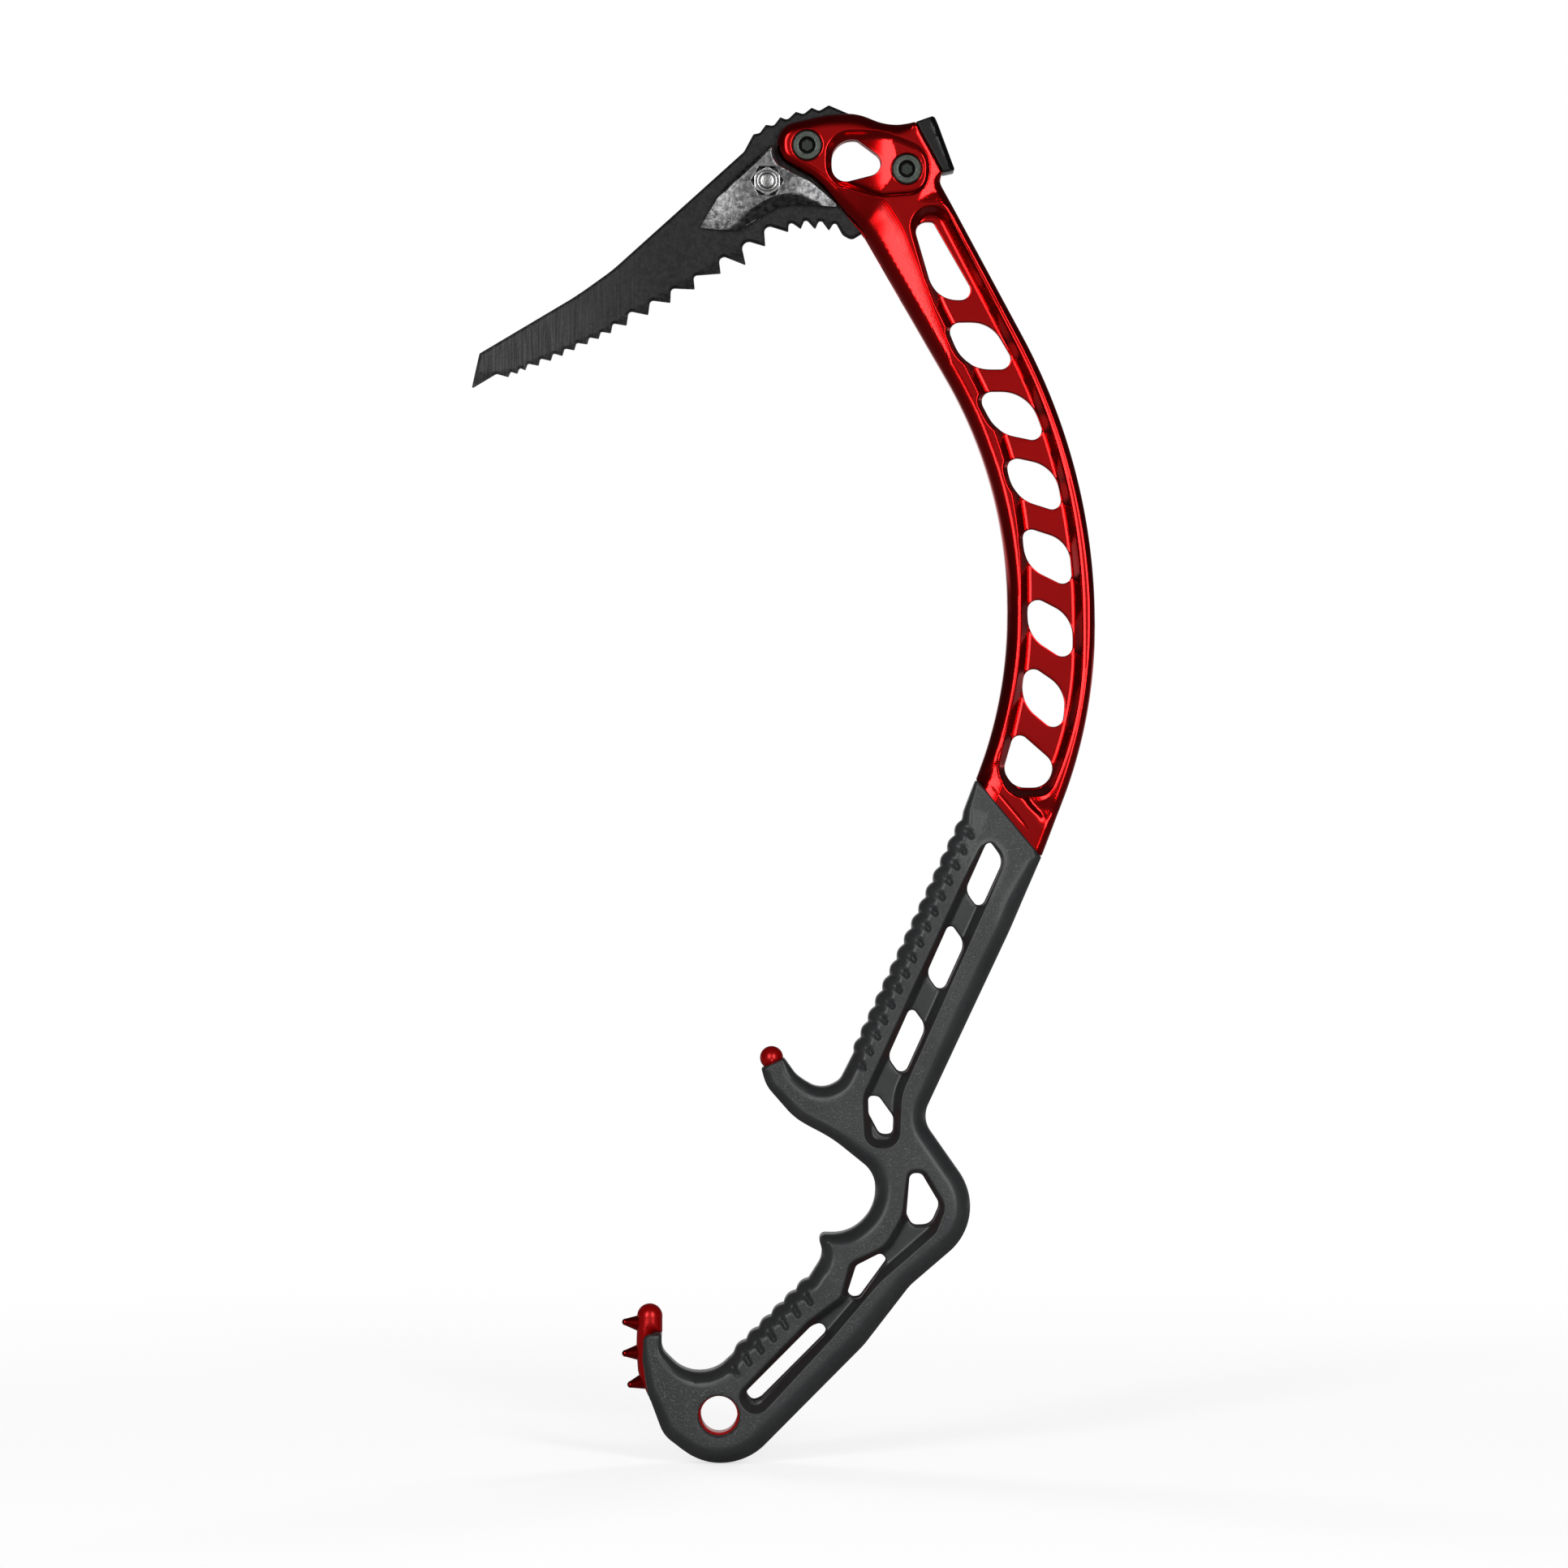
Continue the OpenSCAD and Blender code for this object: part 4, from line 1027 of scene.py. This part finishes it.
def buildPick(sizes):
    loops = sectionLoops("pick", 0)
    outline = Outline(smoothLoop(loops[0], 0.6, sharp=28))
    holes = Outline(*[smoothLoop(loop, 0.6) for loop in loops[1:]])
    plan = Plan()
    plan.loops(outline)
    plan.rings(outline, [0.12, 0.4, 0.7, 1.0, 1.35])
    plan.loops(holes)
    # the line along the gullets of the teeth, from the point to the back
    last, way = outline.way[outline.before], outline.way
    bend = last[:, 0] * way[:, 1] - last[:, 1] * way[:, 0]
    axis = (outline.points - outline.points[np.argmin(outline.points[:, 0])]) @ [-0.36, 0.93]
    gullets = outline.points[(bend > 0.02) & (axis < 12) & (outline.points[:, 0] < 44)]
    gullets = gullets[np.argsort(gullets[:, 0])]
    plan.fill(*outline.box, sizes["meshPitch"], lambda p: outline.signed(p) > 1.4)

    def levelsOf(region, p):
        edge = np.abs(outline.signed(p))
        bevel = sizes["edgeDrop"] * np.clip(1 - edge / sizes["edgeBevel"], 0, 1)
        line = np.interp(p[:, 0], gullets[:, 0], gullets[:, 1])
        depth = np.where(p[:, 0] < 44, line + 0.9 - p[:, 1], 0)
        thinner = sizes["toothDrop"] * np.clip(depth / sizes["toothReach"], 0, 0.75)
        return np.zeros(len(p)), sizes["halfThickness"] - np.maximum(bevel, thinner)

    return plateSolid(plan, outline, holes, lambda p: np.zeros(len(p), int), levelsOf)


finishPiece(addPiece("icePick", [buildPick(pickSizes)]), pickSteel, "pick", angle=12)


# Weights

weightSizes = {
    # all in mm
    "inner": 2.0, "outer": 8.0,                       # faces, from the mid-plane
    "flatRadius": 5, "crown": 0.0075,                 # flat around the bolt, and how fast it falls
    "nutPocketFloor": 3.5, "boltPocketFloor": 4.8,    # from the mid-plane
    "boltPocketRadius": 5.75,
    "meshPitch": 0.7,
    # places around the outline: x, z, width of the bevel and how far it drops
    "edges": [
        (-6.5, 438.2, 1.6, 1.0), (2.4, 451, 1.8, 1.5), (17.5, 466, 1.4, 1.2),
        (20.0, 463.5, 0.7, 0.6), (27, 458, 0.7, 0.6), (40, 448.6, 0.7, 0.6), (42.5, 446, 1.6, 1.6),
        (30, 446.6, 3.6, 3.4), (14, 441.5, 4.6, 4.0), (3, 437.8, 3.0, 2.4)
    ],
}


def buildWeight(nodeName, side, boltAt, pocket, floor, sizes):
    loops = sectionLoops(nodeName, side * 3)
    outline = Outline(smoothLoop(loops[0], 0.6))
    bore = Outline(smoothLoop(loops[-1], 0.5))
    pocket = Outline(pocket)
    width, drop = valuesAlong(outline.points, sizes["edges"])
    plan = Plan()
    plan.loops(outline)
    plan.rings(outline, [0.12, 0.5, 1.0, 1.5, 2.0, 2.6, 3.3, 4.1, 4.9])
    plan.loops(bore)
    plan.loops(pocket)
    plan.rings(pocket, [-0.15, -0.4])
    plan.fill(*outline.box, sizes["meshPitch"], outline.holds)

    def levelsOf(region, p):
        below = np.full(len(p), sizes["inner"])
        if region == 1:
            return below, np.full(len(p), floor)
        d, place = outline.signed(p, withPlace=True)
        bevel = drop[place] * np.clip(1 - np.abs(d) / width[place], 0, 1)
        away = np.maximum(np.hypot(*(p - np.array(boltAt)).T) - sizes["flatRadius"], 0)
        top = softMin(sizes["outer"] - sizes["crown"] * away**2, sizes["outer"] - bevel, 0.3)
        return below, np.minimum(top, sizes["outer"]) - roundOver(-pocket.signed(p), 0.4, 0.3)

    coords, faces, marks = plateSolid(plan, outline, bore,
                                      lambda p: np.where(pocket.holds(p), 1, 0), levelsOf,
                                      mirrored=False)
    if side > 0:
        coords, faces = coords * [1, -1, 1], [face[::-1] for face in faces]
    return coords, faces, marks


weightBoltAt = boxOf("weight_bolt")[:2]
nutPocket = smoothLoop(loopAround(sectionLoops("weight_front", -7.5), *weightBoltAt), 0.6)
boltPocket = circleLoop(weightBoltAt, weightSizes["boltPocketRadius"])
for pieceName, nodeName, side, pocket, floor in (
        ("frontWeight", "weight_front", -1, nutPocket, weightSizes["nutPocketFloor"]),
        ("backWeight", "weight_back", 1, boltPocket, weightSizes["boltPocketFloor"])):
    weight = addPiece(pieceName, [buildWeight(nodeName, side, weightBoltAt, pocket, floor,
                                              weightSizes)])
    finishPiece(weight, zinc, nodeName, angle=24)


# Hammer

hammerSizes = {
    # all in mm
    "headHalf": 8.5, "tangHalf": 2.0,    # from the mid-plane
    "edge": 0.8, "edgeDrop": 0.9,        # rounding of the head
    "strip": 1.7, "stripDrop": 1.3,      # bevel beside the striking face
    "meshPitch": 0.7,
}


def buildHammer(sizes):
    loops = sectionLoops("hammer", 1)
    outline = Outline(smoothLoop(loops[0], 0.6))
    bore = Outline(smoothLoop(loops[1], 0.6))
    head = Outline(smoothLoop(sectionLoops("hammer", 5)[0], 0.6))
    face = head.points[head.out @ np.array([0.94, 0.34]) > 0.9]    # the striking face
    plan = Plan()
    for part in (outline, bore, head):
        plan.loops(part)
    plan.rings(head, [0.08, 0.25, 0.5, 0.8, 1.2, 1.7])
    plan.fill(*outline.box, sizes["meshPitch"], outline.holds)

    def levelsOf(region, p):
        if region == 0:
            return np.zeros(len(p)), np.full(len(p), sizes["tangHalf"])
        rim = np.abs(head.signed(p))
        top = sizes["headHalf"] - roundOver(rim, sizes["edge"], sizes["edgeDrop"])
        strip = np.clip(-alongLine(p, face[-1], face[0])[1], 0, None)
        cut = sizes["headHalf"] - sizes["stripDrop"] * np.clip(1 - strip / sizes["strip"], 0, 1)
        return np.zeros(len(p)), np.minimum(top, cut)

    return plateSolid(plan, outline, bore, lambda p: head.holds(p).astype(int), levelsOf)


finishPiece(addPiece("hammerHead", [buildHammer(hammerSizes)]), hammerSteel,
            "hammer", angle=20)


# Bolts and nuts

boltSizes = {
    # all in mm
    "headRadius": 5.6, "headThickness": 3.2, "chamfer": 0.6,
    "dishRadius": 3.05, "dishDepth": 1.6, "socket": 3.7,    # in a head, the last across its flats
    "shankRadius": 3.0, "sleeveRadius": 4.0, "endGap": 0.3,
    "nutFlats": 10.0,
}


def headRings(face, sizes):
    # a bolt head with a round dish and a hexagon socket, from the middle of the socket outwards.
    # The last number of a ring is how much painted shade darkens it, in the dish and the socket.
    r, c, dish, floor = (sizes[k] for k in ("headRadius", "chamfer", "dishRadius", "dishDepth"))
    back = face + sizes["headThickness"]
    return [[face + floor * 0.6, 0, 0.55], [face + floor * 0.6, sizes["socket"], "hex", 0.55],
            [face + floor * 0.65, sizes["socket"] + 0.15, "hex", 0.7],
            [face + floor, sizes["socket"] + 0.2, "hex", 1], [face + floor, dish - 0.1, 1],
            [face + 0.3, dish, 1], [face + 0.12, dish + 0.05, 0.4], [face + 0.03, dish + 0.2, 0],
            [face, dish + 0.4, 0], [face, r - c, 0], [face + 0.12, r - c + 0.16, 0],
            [face + c, r, 0], [back - 0.2, r, 0], [back, r - 0.2, 0], [back, sizes["shankRadius"]]]


def boltRings(face, end, sizes):
    # the head, and the shank to its other end
    r = sizes["shankRadius"]
    return headRings(face, sizes) + [[end - 0.5, r], [end, r - 0.5], [end, 0]]


def weightBoltRings(face, end, sizes):
    # its domed end shows inside the nut
    r = sizes["shankRadius"]
    return headRings(face, sizes) + [[end - 0.9, r], [end - 0.4, r - 0.1], [end - 0.1, r - 0.4],
                                     [end, r - 0.7], [end, 0]]


def sleeveNutRings(face, end, sizes):
    # a round head on a sleeve that is open at its end
    r, bore, rim = sizes["sleeveRadius"], sizes["shankRadius"] + 0.01, sizes["headRadius"]
    back = face + sizes["headThickness"]
    return [[face, 0], [face, rim - 0.7], [face + 0.6, rim], [back - 0.2, rim], [back, rim - 0.2],
            [back, r], [end - 0.3, r], [end, r - 0.3], [end, bore],
            [back + sizes["endGap"], bore], [back + sizes["endGap"], 0]]


def nutRings(face, back, sizes):
    # a hexagon nut with a raised ring round the bolt and worn corners
    # the last number of a ring is how much painted shade darkens it: the flats, the back and round
    # the bore
    bore, flats = sizes["shankRadius"] + 0.01, sizes["nutFlats"]
    return [[face, bore, 0.7], [face, bore + 0.1, 0], [face, bore + 0.55, 0],
            [face + 0.1, bore + 0.75, 0.8], [face + 0.35, bore + 0.8, 0.8], [face + 0.35, 4.2, 0],
            [face + 0.37, flats * 0.92, "hex", 0], [face + 0.42, flats * 0.95, "hex", 1],
            [face + 0.75, flats, "hex", 1], [back - 0.3, flats, "hex", 1],
            [back, flats - 0.4, "hex", 1], [back, bore, 1], [face, bore, 1]]


for pieceName, nodeName, ringsOf, fromBack, steel in (
        ("pickBolt", "pick_bolt", boltRings, False, boltSteel),
        ("hammerBolt", "hammer_bolt", boltRings, False, boltSteel),
        ("pickNut", "pick_nut", sleeveNutRings, True, boltSteel),
        ("hammerNut", "hammer_nut", sleeveNutRings, True, boltSteel),
        ("weightBolt", "weight_bolt", weightBoltRings, True, platedSteel),
        ("weightNut", "weight_nut", nutRings, False, platedSteel)):
    x, z, front, back = boxOf(nodeName)
    rings = ringsOf(*((-back, -front) if fromBack else (front, back)), boltSizes)
    bolt = addPiece(pieceName, [latheSolid((x, z), rings, 96, fromBack)])
    finishPiece(bolt, steel, nodeName, angle=30)


# Stage, lights and camera

studioSizes = {
    "floorRadius": 14, "floorSides": 96,        # m, and the number of its straight sides
    "whiteFrom": 0.35, "whiteTo": 1.1,          # m, where the paper fades into plain white
    "paper": "#f4f4f4", "glow": 0.66,           # its colour, and its light as the camera sees it
    # the backdrop's tone: 0 straight in front of the tool, where the camera stands, and 1 behind
    "tones": ((0, 0.64), (0.012, 0.6), (0.04, 0.36), (0.09, 0.14), (0.2, 0.08), (0.6, 0.08),
              (0.9, 0.09), (1, 0.3)),
    # tall soft boxes on both sides of the camera, and the same behind the tool for its other
    # side: slopes that lean towards them turn bright. Place, width, W, and whether they mirror.
    "boxes": {"leftFrontSoftbox": ((-0.96, -2.19, 0.6), 0.5, 22.5, True),
              "rightFrontSoftbox": ((1.0, -2.19, 0.6), 0.5, 22.5, True),
              "leftRearSoftbox": ((-1.5, 1.87, 0.6), 0.8, 17, False),
              "rightRearSoftbox": ((1.54, 1.87, 0.6), 0.8, 17, False)},
    "boxHeight": 1.8, "boxTarget": (0.04, 0, 0.24),
    "camera": (0.024, -2.5, 0.2325), "lens": 155.3, "sensor": 36,    # m, and mm
}


def buildFloor(sizes):
    # matt white paper that fades into the plain white of the backdrop
    material, tree, place = startMaterial("seamlessPaper")
    away = addNode(tree, "ShaderNodeVectorMath", {0: place}, operation="LENGTH").outputs["Value"]
    fade = addNode(tree, "ShaderNodeMapRange", {
        "Value": away, "From Min": sizes["whiteFrom"], "From Max": sizes["whiteTo"]},
        interpolation_type="SMOOTHSTEP")
    ray = addNode(tree, "ShaderNodeLightPath").outputs
    # mirrors see the white paper behind the tool, and dim paper beside it
    behind = addNode(tree, "ShaderNodeMapRange", {
        "Value": addNode(tree, "ShaderNodeSeparateXYZ", {"Vector": place}).outputs["Y"],
        "From Min": 1.2, "From Max": 4.0, "To Min": 0.03, "To Max": 0.6})
    mirrored = addNode(tree, "ShaderNodeMath", {0: ray["Is Glossy Ray"], 1: behind},
                       operation="MULTIPLY")
    seen = addNode(tree, "ShaderNodeMath", {0: ray["Is Camera Ray"], 1: mirrored},
                   operation="MAXIMUM")
    seen = addNode(tree, "ShaderNodeMath", {0: seen, 1: ray["Is Transmission Ray"]},
                   operation="MAXIMUM")
    dim = addNode(tree, "ShaderNodeMath", {0: ray["Is Glossy Ray"], 1: 0.75},
                  operation="MULTIPLY")
    colour = addNode(tree, "ShaderNodeMix", {
        "Factor": dim, 6: hexColour(sizes["paper"]), 7: (0, 0, 0, 1)}, data_type="RGBA").outputs[2]
    paper = addNode(tree, "ShaderNodeBsdfDiffuse", {"Color": colour})
    glow = addNode(tree, "ShaderNodeEmission", {"Color": (1, 1, 1, 1), "Strength": sizes["glow"]})
    lit = addNode(tree, "ShaderNodeAddShader", {0: paper, 1: glow})
    near = addNode(tree, "ShaderNodeMixShader", {0: seen, 1: paper, 2: lit})
    white = addNode(tree, "ShaderNodeEmission", {"Color": (1, 1, 1, 1), "Strength": 1.0})
    share = addNode(tree, "ShaderNodeMath", {0: fade, 1: seen}, operation="MULTIPLY")
    both = addNode(tree, "ShaderNodeMixShader", {0: share, 1: near, 2: white})
    addNode(tree, "ShaderNodeOutputMaterial", {"Surface": both})
    mesh = bpy.data.meshes.new("studioFloor")
    count, radius = sizes["floorSides"], sizes["floorRadius"]
    angles = [2 * math.pi * i / count for i in range(count)]
    mesh.from_pydata([(0.02 + radius * math.cos(a), radius * math.sin(a), cadBox[0][2] - 0.0002)
                      for a in angles], [], [list(range(count))])
    mesh.materials.append(material)
    floor = addObject("studioFloor", mesh)


def buildWorld(sizes):
    world = bpy.data.worlds.new("studio")
    bpy.context.scene.world = world
    world.use_nodes = True
    tree = world.node_tree
    tree.nodes.clear()
    way = addNode(tree, "ShaderNodeTexCoord").outputs["Generated"]
    apart = addNode(tree, "ShaderNodeSeparateXYZ", {"Vector": way}).outputs
    turn = addNode(tree, "ShaderNodeMapRange", {"Value": apart["Y"], "From Min": -1.0,
                                                "From Max": 1.0})
    tones = addNode(tree, "ShaderNodeValToRGB", {"Fac": turn})
    stops = tones.color_ramp.elements
    for place, tone in sizes["tones"]:
        stop = stops[0] if place == 0 else stops[-1] if place == 1 else stops.new(place)
        stop.color = (tone, tone, tone, 1)
    # the front is darker above the height of the camera
    upper = addNode(tree, "ShaderNodeMapRange", {
        "Value": apart["Z"], "From Min": -0.01, "From Max": 0.1, "To Min": 1.0, "To Max": 0.5})
    studio = addNode(tree, "ShaderNodeBackground", {"Color": tones, "Strength": upper})
    white = addNode(tree, "ShaderNodeBackground", {"Color": (1, 1, 1, 1)})
    # the camera sees plain white all round, and mirrors and glass see it behind the tool
    ray = addNode(tree, "ShaderNodeLightPath").outputs
    behind = addNode(tree, "ShaderNodeMapRange", {"Value": apart["Y"], "From Min": 0.93,
                                                  "From Max": 0.99})
    mirrored = addNode(tree, "ShaderNodeMath", {0: ray["Is Glossy Ray"],
                                                1: ray["Is Transmission Ray"]},
                       operation="MAXIMUM")
    mirrored = addNode(tree, "ShaderNodeMath", {0: mirrored, 1: behind}, operation="MULTIPLY")
    seen = addNode(tree, "ShaderNodeMath", {0: ray["Is Camera Ray"], 1: mirrored},
                   operation="MAXIMUM")
    both = addNode(tree, "ShaderNodeMixShader", {0: seen, 1: studio, 2: white})
    addNode(tree, "ShaderNodeOutputWorld", {"Surface": both})


def addSoftboxes(sizes):
    for name, (place, width, power, mirrored) in sizes["boxes"].items():
        light = bpy.data.lights.new(name, "AREA")
        light.shape = "RECTANGLE"
        light.size, light.size_y = width, sizes["boxHeight"]
        light.energy = power
        lamp = addObject(name, light)
        lamp.location = place
        aim = Vector(sizes["boxTarget"]) - lamp.location
        lamp.rotation_euler = aim.to_track_quat("-Z", "Y").to_euler()
        lamp.visible_camera = False
        lamp.visible_glossy = mirrored


def addCamera(sizes):
    data = bpy.data.cameras.new("productCamera")
    data.sensor_width = sizes["sensor"]
    data.lens = sizes["lens"]
    camera = addObject("productCamera", data)
    camera.location = sizes["camera"]
    camera.rotation_euler = (math.radians(90), 0, 0)
    bpy.context.scene.camera = camera


buildFloor(studioSizes)
buildWorld(studioSizes)
addSoftboxes(studioSizes)
addCamera(studioSizes)
bpy.context.scene.view_settings.view_transform = "Standard"
print("stage, lights and camera made")
